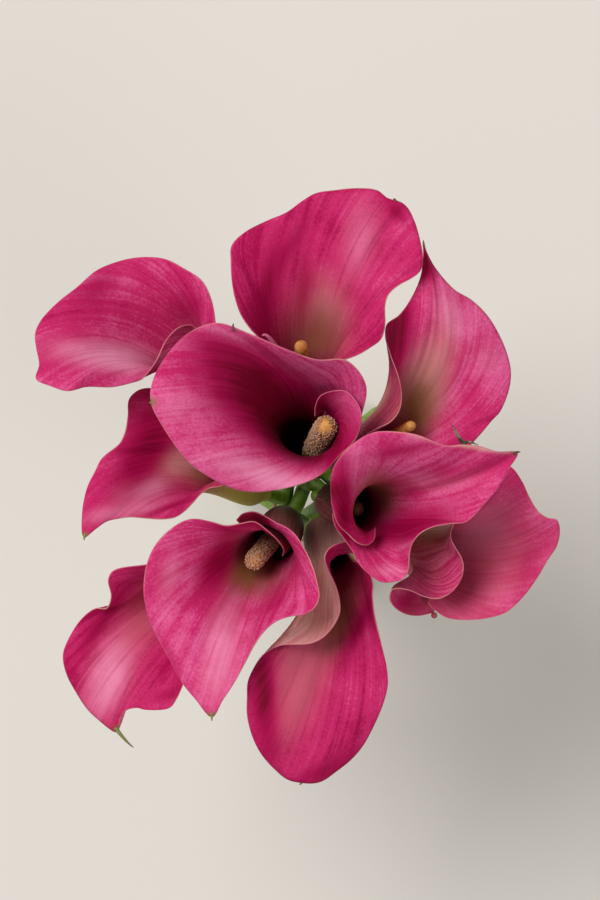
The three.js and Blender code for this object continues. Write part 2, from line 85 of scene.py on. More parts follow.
# ---- The ten flowers, as in the model ----
# base, throat: [plan x, plan y, height] of the two ends of the rolled tube's axis.
# mouth: radius of the tube at the throat. spadix: plan place and height of its tip.
# rim: [plan x, plan y, height above the throat along the tube], from the outer margin
# round the limb to the inner margin. A fourth number adds to the rim's curl, in degrees.
FLOWERS = [
  {
    "name": "01", "ring": "inner", "base": [2, -8, 226], "throat": [3.4, 7.4, 264], "mouth": 12,
    "spadix": {"tip": [11, 10.8, 273], "radius": 4.6},
    "rim": [
      [24, 11, 12], [26.4, 25.6, 26], [18.8, 35.6, 36], [6.4, 36, 42], [-7.2, 40.8, 50],
      [-21.2, 46.8, 56], [-33.6, 50.8, 60], [-45.2, 46.4, 61], [-54.4, 36.4, 60],
      [-59.2, 26.8, 58], [-59.6, 18.8, 56], [-54.8, 9.2, 50], [-46, -3.2, 42],
      [-38.4, -9.6, 36], [-23.2, -16.4, 26], [-7.2, -15.6, 20], [7.6, -10.4, 17],
      [16, -2, 16], [22.4, 4.8, 17], [24.4, 15.2, 21], [18.8, 23.2, 23], [14, 23.6, 22],
      [8.4, 21.6, 18], [6.4, 17.6, 13], [6, 13.2, 8],
    ],
  },
  {
    "name": "02", "ring": "inner", "base": [10, -19, 218], "throat": [28.6, -23.8, 258],
    "mouth": 10.5,
    "spadix": {"tip": [24, -24, 247], "radius": 3.4},
    "rim": [
      [13.6, -22, 4], [13, -26.4, 6], [14, -30.6, 9], [17.6, -35.6, 13], [20.8, -40, 16],
      [23.2, -44.8, 18],
      [27.6, -49.6, 20], [32.4, -52.8, 22], [37.2, -52.8, 24], [41.2, -51.6, 25],
      [43.2, -47.6, 27], [43.6, -42, 29], [44.8, -37.2, 31], [48, -33.2, 33],
      [53.6, -30.4, 36], [60.4, -29.2, 39], [66.8, -28.4, 41], [74.4, -20.8, 45],
      [79.2, -15.2, 48], [84, -6.8, 50], [87.2, -1.2, 50], [79.2, -0.8, 52],
      [72.4, 1.2, 51], [65.6, 2, 50], [58.4, 1.6, 48], [46.8, 6, 45], [38.4, 7.2, 41],
      [30.8, 7.2, 37], [26, 5.6, 34], [20.8, 2, 31], [16, -2.8, 28], [12.8, -8.8, 25],
      [12.4, -18.4, 21], [13.2, -24, 20], [15.2, -29.6, 19], [19.2, -33.6, 18],
      [23.2, -37.2, 18], [26.8, -38, 17], [29.6, -35.6, 14], [30, -30.8, 8],
    ],
  },
  {
    "name": "03", "ring": "inner", "base": [-5, -28, 216], "throat": [-13, -40, 256],
    "mouth": 10.5,
    "spadix": {"tip": [-19.2, -45.2, 268], "radius": 3.8},
    "rim": [
      [-25.6, -28, 10], [-23.2, -25.6, 14], [-18.4, -24.8, 18], [-14.4, -26.4, 20],
      [-9.6, -29.2, 22], [-6, -30.8, 24], [-2, -34, 26], [1.6, -39.6, 28],
      [4.8, -46.4, 31], [6.8, -53.2, 34], [7.6, -58.8, 36], [5.6, -63.2, 38],
      [1.6, -65.6, 39], [-4, -66.4, 40], [-9.6, -68.4, 41], [-14.4, -72.4, 43],
      [-18.4, -78, 45], [-22, -84.8, 47], [-26, -92.4, 50], [-30.8, -100, 52],
      [-35.2, -107, 54], [-42, -99.6, 52], [-47.2, -93.2, 51], [-52.8, -82.8, 50],
      [-57.6, -74, 48], [-60.8, -66.4, 47], [-62.4, -58.8, 46], [-62.4, -52, 45],
      [-61.2, -45.2, 44], [-58.4, -38.8, 42], [-53.6, -33.2, 40], [-47.2, -28.8, 38],
      [-42.4, -27.6, 36], [-35.6, -28.8, 33], [-29.6, -30.4, 30], [-24, -29.6, 27],
      [-18.4, -28.8, 25], [-13.6, -32, 24], [-9.6, -35.6, 22], [-6.8, -39.6, 18],
      [-7.2, -42.4, 13],
    ],
  },
  {
    "name": "04", "ring": "outer", "base": [-22, 14, 216], "throat": [-46, 38, 246],
    "mouth": 10.5,
    "spadix": {"tip": [-47, 38.5, 249], "radius": 3.6},
    "rim": [
      [-38, 38, 4], [-34, 44.5, 9], [-34, 51.6, 14], [-35.6, 60.4, 19], [-39.2, 67.6, 24],
      [-46.8, 72.8, 29], [-54, 76.4, 33], [-62.4, 77.2, 36], [-70.8, 76, 38],
      [-81.2, 72, 42], [-89.2, 65.2, 45], [-96.8, 59.2, 48], [-103.6, 52, 50],
      [-106, 46.8, 50], [-105.6, 40.8, 50], [-104.4, 34, 50], [-105.6, 28.4, 50],
      [-99.6, 25.6, 46], [-92.8, 23.6, 42], [-85.2, 25.2, 36], [-75.2, 25.2, 28],
      [-68, 26.8, 23, -5], [-63.6, 28.4, 20, -15], [-60, 32.4, 20, -22],
      [-56.8, 37.6, 21, -22], [-54, 43.6, 22, -15], [-49.2, 48.8, 21, -5],
      [-44, 50.2, 17], [-40.6, 48.6, 13],
    ],
  },
  {
    "name": "05", "ring": "outer", "base": [4, 2, 210], "throat": [2, 33, 250], "mouth": 11,
    "spadix": {"tip": [0.4, 42.8, 274], "radius": 3.1},
    "rim": [
      [-4.5, 27.5, 7], [-9.2, 33.5, 14], [-13, 39.5, 21], [-15.8, 44.4, 27],
      [-19.6, 48.4, 31],
      [-23.6, 54.4, 35], [-26, 61.2, 40], [-27.2, 68, 45], [-27.6, 76, 50],
      [-27.2, 82, 52], [-22, 87.2, 54], [-13.6, 91.6, 56], [-5.2, 95.2, 58],
      [0.8, 99.6, 60], [6.4, 102.8, 61], [14, 104, 62], [23.2, 104.8, 62],
      [30.8, 104, 62], [35.2, 100.8, 62], [40.4, 99.2, 61], [43.2, 96.8, 58],
      [46, 91.2, 55], [48, 84.4, 51], [49.2, 77.2, 48], [48.4, 72, 44], [44.4, 68.8, 43],
      [39.2, 66, 42], [35.2, 62, 40], [34, 57.6, 38], [34, 50, 33], [32.4, 44.4, 29],
      [27.6, 40.8, 26], [21.6, 37.6, 24], [14, 35.6, 22], [6.4, 35.6, 21],
      [0, 37, 21], [-4.5, 38.7, 19], [-8, 40.2, 16], [-9.5, 42, 12],
    ],
  },
  {
    "name": "06", "ring": "outer", "base": [14, -6, 206], "throat": [35, 5, 242], "mouth": 10.5,
    "spadix": {"tip": [45.4, 10.2, 262], "radius": 2.4},
    "rim": [
      [32.3, -7.2, 5], [27.5, -5, 10], [25, 0, 14], [26, 5.4, 17], [30.8, 8.4, 20],
      [36.4, 11.2, 23], [40, 16, 25], [40.8, 22.4, 28], [39.6, 29.2, 31],
      [36.4, 38, 33], [34, 46.8, 35], [34.8, 50.4, 37], [39.6, 54, 40], [44, 60, 43],
      [48, 68.8, 47], [49.2, 76.4, 50], [49.4, 82.8, 52], [50.8, 79.2, 52],
      [54, 73.2, 51], [61.6, 64.4, 50], [68.8, 60, 49], [75.2, 53.6, 48],
      [80, 45.6, 46], [82.8, 38.8, 44], [84.4, 31.6, 42], [83.6, 24, 39],
      [80, 15.2, 35], [77, 12, 32], [72, 6, 28], [66, 0, 22], [58, -5, 17], [49, -8, 14],
      [42, -7, 12], [37, -3, 11], [34.5, 2, 8],
    ],
  },
  {
    "name": "07", "ring": "outer", "base": [31, -31, 206], "throat": [54, -41.5, 236],
    "mouth": 12.5,
    "spadix": {"tip": [57, -44.5, 244], "radius": 3.4},
    "rim": [
      [53.2, -65.2, 6], [46.8, -66.4, 10, -15], [41.2, -65.2, 15, -35],
      [37.2, -62, 17, -50], [36, -59.2, 18, -55], [36.8, -56.2, 19, -60],
      [39.2, -55.6, 20, -55], [44, -56.4, 21, -45], [49.6, -58.8, 22, -30],
      [55.2, -59.6, 24, -15], [60.4, -57.2, 26], [64, -52.8, 27],
      [65.6, -47.6, 28], [64.8, -43.2, 28], [62, -38.4, 27], [60.4, -34.4, 26],
      [62, -28, 25], [66, -20, 25], [71, -12, 26], [77, -6, 28], [84, -6.4, 30],
      [88.8, -12.4, 33], [91.6, -18.4, 36], [95.6, -24.8, 39], [99.2, -27.2, 41],
      [102.8, -28, 43], [104, -32.4, 43], [102.8, -38.4, 42], [99.2, -44, 40],
      [95.2, -50.8, 38], [89.6, -58.4, 35], [82.8, -64.8, 31], [75.6, -67.2, 27],
      [67.6, -68, 22], [59.2, -67.2, 17], [54, -64, 14], [51.2, -61.2, 14],
    ],
  },
  {
    "name": "08", "ring": "outer", "base": [8, -30, 206], "throat": [14.5, -49, 242], "mouth": 10,
    "spadix": {"tip": [11.9, -42, 231], "radius": 3.2},
    "rim": [
      [26, -41, 5], [23, -36.5, 11], [19.2, -36.6, 16], [14, -38, 20], [11.2, -40, 22],
      [10, -43.2, 24], [11.6, -48.4, 26], [14.4, -54.4, 30], [16, -60.4, 33],
      [16, -65.2, 35, -5], [13.6, -70.4, 37, -10], [9.2, -75.2, 38, -15], [4, -77.6, 39, -22],
      [-2.8, -78, 40, -28], [-8, -78.4, 41, -24], [-13.6, -81.2, 42, -16], [-18, -86.4, 44, -8],
      [-20.8, -92.4, 47], [-21.2, -98.8, 49], [-21.2, -106.4, 51], [-19.2, -114.4, 53],
      [-15.6, -121.6, 55], [-10, -128, 56], [-4.8, -132, 57], [0.4, -133.2, 58],
      [5.6, -133.4, 58], [9.2, -132.4, 57], [14.4, -128.8, 56], [20.4, -124, 54],
      [25.2, -118.4, 51], [29.6, -110.4, 48], [33.6, -100.8, 44], [35.2, -93.2, 40],
      [34.4, -85.2, 36], [32.4, -77.2, 31], [30.4, -69.2, 27], [29.2, -62.4, 24],
      [28.8, -58, 22], [29, -53, 20], [27, -48, 16], [22.5, -44.5, 10],
    ],
  },
  {
    "name": "09", "ring": "outer", "base": [-18, -38, 206], "throat": [-43, -57, 236],
    "mouth": 10.5,
    "spadix": {"tip": [-52, -66, 248], "radius": 3.6},
    "rim": [
      [-38.4, -54, 5], [-42.5, -49.5, 9], [-50, -44.5, 14], [-61.6, -46, 20],
      [-74.8, -48.4, 28], [-76.8, -52, 30], [-75.6, -58.8, 30], [-77.6, -63.6, 32],
      [-82, -63.6, 34], [-88.4, -68.8, 38], [-94.4, -79.6, 43], [-94.8, -84.4, 44],
      [-93.2, -90.4, 46], [-90, -96.4, 47], [-85.6, -103.2, 49], [-81.2, -107.6, 50],
      [-73.4, -113, 50], [-72.4, -108, 49], [-70, -104.4, 47], [-65.6, -103.2, 45],
      [-61.6, -104, 44], [-52.4, -103.2, 41], [-49.6, -99.6, 39], [-46.8, -93.6, 36],
      [-42, -84, 30], [-39.5, -75, 23], [-41.5, -65.4, 16], [-44.3, -58.4, 12],
      [-46.2, -53.4, 8],
    ],
  },
  {
    "name": "10", "ring": "outer", "base": [-14, -17, 214], "throat": [-35, -7, 240], "mouth": 10,
    "spadix": {"tip": [-40, -5, 247], "radius": 3.4},
    "rim": [
      [-25.6, -3.4, 6], [-25.8, -7.6, 8], [-28, -12, 11], [-32, -14.4, 14],
      [-36.4, -15.2, 16], [-40, -17.6, 18], [-42.8, -20.8, 20], [-46, -24.2, 22],
      [-50, -26.8, 25], [-55.6, -27.6, 28], [-62.4, -27.2, 32], [-68.4, -26.8, 36],
      [-73.6, -27.6, 39], [-77.6, -28.8, 42], [-81.6, -31.6, 45], [-86.4, -35, 48],
      [-87.2, -25.2, 47], [-85.2, -15, 45], [-82, -8.4, 43],
      [-79.2, -3.2, 41], [-72.4, 2.4, 38], [-70, 7.2, 37], [-68.8, 14, 36],
      [-68.4, 20.4, 35], [-64.6, 24, 33], [-59.2, 24.8, 30], [-50, 22, 25],
      [-40, 16.5, 19], [-32, 8, 14], [-29.5, -1, 9], [-32.5, -7.5, 5],
    ],
  },
]

# How each bloom differs. First, how far the throat's dark reaches, mm above the throat: partly the
# throat's own dark colour and partly painted shade; tone: above 0 paler, below 0 deeper; blush and
# pale: shares of pink and of pale tan on the outside, the pale tan partly painted light on faces
# turned from the lamp or shaded by other blooms; green and brown: mm of green foot, and how brown
# it is above that; tips: small points on the rim, as (kind, plan x, plan y of the root, how far
# the end lies from it across and up the plan). The rest are soft ovals of colour on the inside, as
# (plan x, plan y, half length, half width, turn, strength); the pale-pink ones are painted
# highlight, partly the petal's paler streaks, the wine ones are wine colour and painted shade, and
# dark adds painted shade round the throat;
# buff, moss and the wine ones show on the outside too, the wine ones there as painted shade.
LOOKS = {
  "01": {
    "throat_dark_and_shade": 1, "tone": 0.09, "blush": 0.45, "pale": 0.2, "green": 16, "brown": 0.9,
    "tips": [("green", -59.6, 18.8, -0.6, -0.4), ("dark", -27.6, 49.4, 0.4, 1.5)],
    "highlight_and_pale": [(-50, 18, 10, 8, 70, 0.3), (-14, -10, 24, 6, 160, 0.65), (8, -12, 12, 4, 15, 0.4)],
    "wine_and_shade": [(-7, 15, 36, 14, 148, 1.15), (-26, 36, 22, 7, 150, 0.35)],
    "dark": [(-3, 4, 20, 10, 150, 0.75)],
  },
  "02": {
    "throat_dark_and_shade": -5, "tone": 0.06, "blush": 0.1, "pale": 0.1, "green": 12, "brown": 0.5,
    "tips": [("dark", 86.2, -1.0, 1.6, -0.2)],
    "highlight_and_pale": [(47, -12, 12, 4, 5, 0.35), (64, -13, 14, 5, 20, 0.25), (36, -48, 9, 3, 0, 0.45)],
    "buff": [(58, 3.8, 14, 1.7, -10, 1.0), (76, 0.4, 12, 1.3, -8, 0.9)],
    "olive": [(30.5, -19, 11, 9, 80, 0.9), (83, -0.4, 5, 0.8, -8, 1.0)],
    "wine_and_shade": [(41, -31, 24, 7, 15, 0.65), (17, -22, 20, 4, 90, 0.8), (42, 0, 18, 3, 10, 0.45),
             (9, -16.5, 6, 4, 0, 1.2)],
  },
  "03": {
    "throat_dark_and_shade": -2, "tone": 0.0, "blush": 0.2, "pale": 0.0, "green": 7, "brown": 1.0,
    "tips": [("green", -35.2, -107, -0.2, -1.5)],
    "highlight_and_pale": [(-32, -84, 20, 9, 76, 0.5), (-52, -50, 12, 5, 75, 0.4),
             (-31, -67, 11, 6, 60, 0.3)],
    "olive": [(-18, -50, 13, 9, 20, 0.9), (-24, -41, 9, 5, 70, 0.5)],
    "moss": [(-20, -47, 9, 5, 20, 0.6)],
    "wine_and_shade": [(-33, -46, 16, 7, 60, 0.65), (-8, -58, 14, 5, 60, 0.15),
             (-52, -82, 14, 3, 120, 0.3), (-19, -27, 9, 3, 10, 0.9),
             (-12, -33, 12, 2.5, 125, 0.6)],
  },
  "04": {
    "throat_dark_and_shade": 2, "tone": -0.04, "blush": 0.9, "pale": 0.3, "green": 12, "brown": 0.1,
    "tips": [],
    "highlight_and_pale": [(-82, 38, 24, 6, 172, 0.5), (-70, 37, 14, 6, 165, 0.45)],
    "wine_and_shade": [(-82, 64, 14, 7, 42, 0.4), (-46, 56, 12, 8, 60, 0.35)],
  },
  "05": {
    "throat_dark_and_shade": -3, "tone": -0.15, "blush": 0.6, "pale": 0.3, "green": 18, "brown": 0.9,
    "tips": [("dark", 37.6, 99.4, 1.0, -1.2)],
    "highlight_and_pale": [(24, 84, 18, 8, 80, 0.4)],
    "tan": [(9, 56, 16, 12, 90, 0.5)],
    "olive": [(6, 46, 16, 15, 90, 0.7)],
    "moss": [(5, 42, 12, 7, 0, 0.3)],
    "wine_and_shade": [(-14, 60, 26, 5, 80, 0.6), (-2, 84, 16, 4, 60, 0.4), (2, 64, 14, 4, 80, 0.4),
             (38, 96, 8, 3, 130, 0.6)],
  },
  "06": {
    "throat_dark_and_shade": -8, "tone": 0.02, "blush": 1.15, "pale": 0.3, "green": 18, "brown": 0.2,
    "tips": [("green", 49.4, 82.6, -0.1, 1.2)],
    "highlight_and_pale": [(59, 54, 14, 6, 105, 0.5), (76, 36, 10, 8, 60, 0.3)],
    "tan": [(47, 26, 16, 9, 75, 0.8), (56, 36, 20, 7, 78, 0.5)],
    "buff": [(32.8, 19.6, 7, 1.8, 62, 0.9)],
    "olive": [(47, 20, 18, 12, 75, 0.7)],
    "moss": [(46, 13, 12, 8, 70, 0.55)],
    "wine_and_shade": [(39.5, 48, 18, 5, 82, 1.0), (51, 74, 8, 4, 95, 0.7)],
  },
  "07": {
    "throat_dark_and_shade": -3, "tone": -0.05, "blush": 0.85, "pale": 0.3, "green": 8, "brown": 0.3,
    "tips": [],
    "highlight_and_pale": [(71, -35, 16, 8, 40, 0.7), (101, -42, 16, 3, 65, 0.25)],
    "moss": [(50, -31, 9, 7, 0, 0.8)],
    "dusk": [(70, -46, 34, 22, 40, 0.75)],
    "wine_and_shade": [(91, -46, 12, 5, 65, 0.3), (44, -62, 7, 6, 0, 0.6)],
  },
  "08": {
    "throat_dark_and_shade": 0, "tone": -0.16, "blush": 0.0, "pale": 1.6, "green": 6, "brown": 0.6,
    "tips": [("dark", 0.9, -133.0, -1.4, -0.4)],
    "tan": [(1, -86, 22, 5, 78, 0.3)],
    "olive": [(14, -69, 20, 7, 68, 0.9)],
    "dusk": [(0, -90, 28, 12, 78, 0.85)],
    "wine_and_shade": [(-15, -94, 30, 5, 95, 0.9), (12, -128, 18, 5, 20, 0.6), (24, -70, 18, 3, 66, 0.55),
             (8, -35, 10, 7, 90, 0.7)],
  },
  "09": {
    "throat_dark_and_shade": -2, "tone": -0.16, "blush": 0.4, "pale": 0.3, "green": 18, "brown": 0.9,
    "tips": [("green", -73.6, -112.4, 6.6, -7.2)],
    "highlight_and_pale": [(-76, -90, 20, 9, 70, 0.65)],
    "dusk": [(-61, -66, 18, 9, 60, 0.8)],
    "wine_and_shade": [(-78, -67, 20, 3, 54, 0.65), (-53, -98, 8, 3, 20, 0.5)],
  },
  "10": {
    "throat_dark_and_shade": -2, "tone": -0.12, "blush": 0.3, "pale": 0.2, "green": 60, "brown": 0.0,
    "tips": [("green", -86.4, -34.6, 0.2, -1.2)],
    "highlight_and_pale": [(-62, -15, 12, 5, 15, 0.75), (-72, -25, 20, 4, 10, 0.45)],
    "tan": [(-46, -4, 12, 7, 15, 1.0)],
    "moss": [(-38, -9, 9, 6, 15, 0.6)],
    "wine_and_shade": [(-60, 4, 26, 9, 65, 0.8), (-50, -22, 14, 1.6, 20, 0.5)],
  },
}

# ---- Frames and curves, as in the model ----
UP = Vector((0, 0, 1))


def plan_scale(height):
    """True millimetres at this height for each millimetre of the plan."""
    return (EYE_HEIGHT - height) / PLAN_SPAN


def from_plan(point):
    x, y, z = point
    return Vector((x * plan_scale(z), y * plan_scale(z), z))


tie_low, tie_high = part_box("tie")
SHIFT = (tie_low + tie_high) / (2 * MM) - from_plan((*TIE_PLAN, TIE_HEIGHT))


def lerp(a, b, t):
    return a + (b - a) * t


def smooth(value, low, high):
    t = min(max((value - low) / (high - low), 0.0), 1.0)
    return t * t * (3 - 2 * t)


def tube_frame(flower):
    base, throat = from_plan(flower["base"]), from_plan(flower["throat"])
    axis = (throat - base).normalized()
    side = UP.cross(axis).normalized()
    return {
        "base": base, "throat": throat, "axis": axis, "side": side,
        "back": axis.cross(side), "length": (throat - base).length,
    }


def rim_point(point, tube):
    x, y, rise = point[:3]
    axis = tube["axis"]
    lean = x * axis.x + y * axis.y
    level = rise + tube["throat"].dot(axis) - lean * EYE_HEIGHT / PLAN_SPAN
    return from_plan((x, y, level / (axis.z - lean / PLAN_SPAN)))


def round_axis(point, tube, before):
    spoke = point - tube["throat"]
    across, upward = spoke.dot(tube["side"]), spoke.dot(tube["back"])
    angle = math.atan2(upward, across)
    angle -= math.tau * round((angle - before) / math.tau)
    return angle, math.hypot(across, upward), spoke.dot(tube["axis"])


def throat_angles(points, tube):
    angles = []
    for point in points:
        angles.append(round_axis(point, tube, angles[-1] if angles else 0)[0])
    last = len(angles) - 1
    for _ in range(EVENING_PASSES):
        inside = [
            (angles[k - 1] + 2 * angles[k] + angles[k + 1]) / 4 for k in range(1, last)
        ]
        angles = [angles[0], *inside, angles[last]]
    return [
        lerp(angle, lerp(angles[0], angles[last], k / last), EVENNESS)
        for k, angle in enumerate(angles)
    ]


def along_rim(points, t):
    """A point of the centripetal Catmull-Rom curve through the rim's points."""
    last = len(points) - 1
    k = min(int(t * last), last - 1)
    part = t * last - k
    p1, p2 = points[k], points[k + 1]
    p0 = points[k - 1] if k > 0 else 2 * p1 - p2
    p3 = points[k + 2] if k + 2 <= last else 2 * p2 - p1
    d0, d1, d2 = [math.sqrt((b - a).length) for a, b in ((p0, p1), (p1, p2), (p2, p3))]
    leave = ((p1 - p0) / d0 - (p2 - p0) / (d0 + d1) + (p2 - p1) / d1) * d1
    arrive = ((p2 - p1) / d1 - (p3 - p1) / (d1 + d2) + (p3 - p2) / d2) * d1
    bend = 3 * (p2 - p1) - 2 * leave - arrive
    close = 2 * (p1 - p2) + leave + arrive
    return p1 + leave * part + bend * part ** 2 + close * part ** 3


def rim_stations(flower, tube, count):
    points = [rim_point(p, tube) for p in flower["rim"]]
    angles = throat_angles(points, tube)
    curls = [p[3] if len(p) > 3 else 0 for p in flower["rim"]]
    last = len(points) - 1
    stations = []
    before = angles[0]
    for i in range(count + 1):
        t = i / count
        k = min(int(t * last), last - 1)
        angle, radius, rise = round_axis(along_rim(points, t), tube, before)
        before = angle
        root = lerp(angles[k], angles[k + 1], t * last - k)
        curl = lerp(curls[k], curls[k + 1], t * last - k)
        stations.append((angle, radius, rise, root, curl))
    return stations


def bezier(a, b, c, d, t):
    s = 1 - t
    return a * s ** 3 + b * 3 * s * s * t + c * 3 * s * t * t + d * t ** 3


def profile_point(start, end, leave, arrive, t):
    handle = PROFILE_HANDLE * (end - start).length
    return bezier(
        start, start + handle * Vector((math.sin(leave), math.cos(leave))),
        end - handle * Vector((math.sin(arrive), math.cos(arrive))), end, t)


# ---- Fine shape that the model leaves to this script ----
NECK_HUG = 3.35          # the sleeve's radius where it closes on the stem, mm
NECK_BLEND = 9.0         # the rise over which the sleeve opens from there
NECK_STEP = 0.25         # share of the margins' step that is left where it closes
PLEAT_DEPTH = 0.22       # soft pleats that run from throat to rim
PLEATS = 17
RUFFLE_DEPTH = 2.1       # small waves near the rim, fading out on it
RUFFLES = 9


def spathe_point(station, share, row, flower, tube, seed):
    angle, radius, rise, root, curl = station
    step = MARGIN_STEP * (1 - 2 * share)
    mouth = Vector((flower["mouth"] + step, 0))
    flare = math.radians(TUBE_FLARE)
    if row <= TUBE_ROWS:
        neck = Vector((NECK_RADIUS + step, -tube["length"]))
        spot = profile_point(neck, mouth, math.radians(NECK_FLARE), flare, row / TUBE_ROWS)
        opened = smooth(spot.y + tube["length"], 0, NECK_BLEND)
        spot.x = lerp(NECK_HUG + step * NECK_STEP, spot.x, opened)
        turn = root
    else:
        up = (row - TUBE_ROWS) / LIMB_ROWS
        chord = math.atan2(radius - mouth.x, rise)
        arrive = 2 * chord - flare + math.radians(RIM_CURL + curl)
        spot = profile_point(mouth, Vector((radius, rise)), flare, arrive, up)
        turn = lerp(root, angle, smooth(up, 0, 1))
        pleat = math.sin(PLEATS * share * math.tau + seed) * up * (1 - up) * 4
        ruffle = math.sin(RUFFLES * share * math.tau + 2 * seed) * up ** 5 * (1 - up)
        spot.y += PLEAT_DEPTH * pleat + RUFFLE_DEPTH * ruffle
    return (tube["throat"] + tube["side"] * (spot.x * math.cos(turn))
            + tube["back"] * (spot.x * math.sin(turn)) + tube["axis"] * spot.y)


# ---- Making pieces ----
def in_place(point):
    return (point + SHIFT) * MM


def new_piece(name, bm, materials, node):
    mesh = bpy.data.meshes.new(name)
    bm.to_mesh(mesh)
    bm.free()
    for material in materials:
        mesh.materials.append(material)
    mesh.shade_smooth()
    piece = bpy.data.objects.new(name, mesh)
    bpy.context.collection.objects.link(piece)
    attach(piece, "root")
    if node:
        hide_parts(node)
    return piece


def blank_grid(columns, rows, values=()):
    """A grid of columns by rows, its layers, and the (column, row) of each point."""
    bm = bmesh.new()
    layers = {key: bm.verts.layers.float.new(key) for key in values}
    bmesh.ops.create_grid(bm, x_segments=columns, y_segments=rows, size=0.5)
    cells = {
        vert: (round((vert.co.x + 0.5) * columns), round((vert.co.y + 0.5) * rows))
        for vert in bm.verts
    }
    return bm, layers, cells


def distances(points):
    """How far each point is from the sheet's free edges and from its neck, in mm."""
    columns, rows = len(points) - 1, len(points[0]) - 1
    to_rim = [[0.0] * (rows + 1) for _ in points]
    from_neck = [[0.0] * (rows + 1) for _ in points]
    to_side = [[0.0] * (rows + 1) for _ in points]
    for i in range(columns + 1):
        for j in range(rows):
            step = (points[i][j + 1] - points[i][j]).length
            from_neck[i][j + 1] = from_neck[i][j] + step
        for j in range(rows + 1):
            to_rim[i][j] = from_neck[i][rows] - from_neck[i][j]
    for j in range(rows + 1):
        ahead = [0.0]
        for i in range(columns):
            ahead.append(ahead[-1] + (points[i + 1][j] - points[i][j]).length)
        for i in range(columns + 1):
            to_side[i][j] = min(ahead[i], ahead[-1] - ahead[i])
    edge = [
        [min(to_rim[i][j], to_side[i][j]) for j in range(rows + 1)]
        for i in range(columns + 1)
    ]
    return edge, from_neck


EDGE_THIN = 0.5          # share of the wall that is left at the very rim
EDGE_WIDTH = 5.0         # mm over which it thins
VEIN_PULL = 0.45         # how far the veins lean over towards the rim's tip
TIP_REACH = 3.5          # mm of green round each rim tip
GREEN_FULL = 1 / 3       # share of the green foot that is all green
# The throat's dark below is partly its own colour and partly painted shade.
THROAT_FULL = -26        # height above the throat, mm, up to which the dark is full
BROWN_FOOT = (16, 40)    # mm of the sleeve over which its brown gives way to pink
# Painted ovals: the pale-pink ones are painted highlight, the wine and dark ones partly painted
# shade.
PATCHES = ("highlight_and_pale", "tan", "buff", "olive", "moss", "dusk", "wine_and_shade", "dark")
SHADES = ("throat_dark_and_shade", "edge", "green", "brown", "tone", "blush", "pale", "tip", *PATCHES)


def patch_strength(patches, point):
    """How strongly a bloom's patches of one kind colour a point of it."""
    scale = plan_scale(point.z)
    total = 0.0
    for x, y, long, wide, turn, strength in patches:
        dx, dy = point.x / scale - x, point.y / scale - y
        cos, sin = math.cos(math.radians(turn)), math.sin(math.radians(turn))
        away = ((dx * cos + dy * sin) / long) ** 2 + ((dy * cos - dx * sin) / wide) ** 2
        total += strength * math.exp(-away)
    return total


def plan_distance(point, x, y):
    """How far a point is from a place of the plan, across plus up."""
    scale = plan_scale(point.z)
    return abs(point.x - x * scale) + abs(point.y - y * scale)


def rim_tips(look, rim):
    """The look's tips, as (place along the rim, reach, kind)."""
    tips = []
    for kind, x, y, *reach in look["tips"]:
        k = min(range(len(rim)), key=lambda k: plan_distance(rim[k], x, y))
        tips.append((k, Vector((*reach, 0)), kind))
    return tips


def colour_point(vert, shade, point, look, tube, from_neck, green_tips):
    """Write what the petal's materials read at one point of the sheet."""
    rise = (point - tube["throat"]).dot(tube["axis"])
    # The throat's dark: its own dark colour and painted shade, deep in the tube.
    vert[shade["throat_dark_and_shade"]] = 1 - smooth(rise, THROAT_FULL, look["throat_dark_and_shade"])
    for kind in PATCHES:
        vert[shade[kind]] = patch_strength(look.get(kind, ()), point)
    green = look["green"]
    vert[shade["green"]] = 1 - smooth(from_neck, green * GREEN_FULL, green)
    vert[shade["brown"]] = look["brown"] * (1 - smooth(from_neck, *BROWN_FOOT))
    for key in ("tone", "blush", "pale"):
        vert[shade[key]] = look[key]
    vert[shade["tip"]] = max(
        [0.0] + [1 - smooth((point - tip).length, 0, TIP_REACH) for tip in green_tips])


def face_inwards(bm, cells, tube):
    """Turn the sheet so that its normals point into the funnel."""
    bm.normal_update()
    probe = next(face for face in bm.faces if (0, 0) in [cells[v] for v in face.verts])
    outward = probe.calc_center_median() - in_place(tube["base"])
    outward -= tube["axis"] * outward.dot(tube["axis"])
    if probe.normal.dot(outward) > 0:
        bmesh.ops.reverse_faces(bm, faces=bm.faces)


def map_veins(piece, places, from_neck, middle):
    """Lay a map on the sheet whose lines lean over towards the rim's tip."""
    vein_map = piece.data.uv_layers.new(name="petal")
    for loop, spot in zip(piece.data.loops, vein_map.data):
        i, j = places[loop.vertex_index]
        share = from_neck[i][j] / from_neck[i][-1]
        lean = (i / COLUMNS - middle) / (1 - VEIN_PULL * share ** 2)
        spot.uv = (middle + lean, share)


def thicken(piece, places, edge):
    """Give the sheet its wall, thinner towards its edge."""
    wall = piece.vertex_groups.new(name="wall")
    for index, (i, j) in enumerate(places):
        wall.add([index], lerp(EDGE_THIN, 1.0, smooth(edge[i][j], 0, EDGE_WIDTH)), "REPLACE")
    thick = piece.modifiers.new("wall", "SOLIDIFY")
    thick.thickness = SPATHE_WALL * MM
    thick.offset = -1
    thick.vertex_group = "wall"
    thick.material_offset = 1
    thick.material_offset_rim = 2


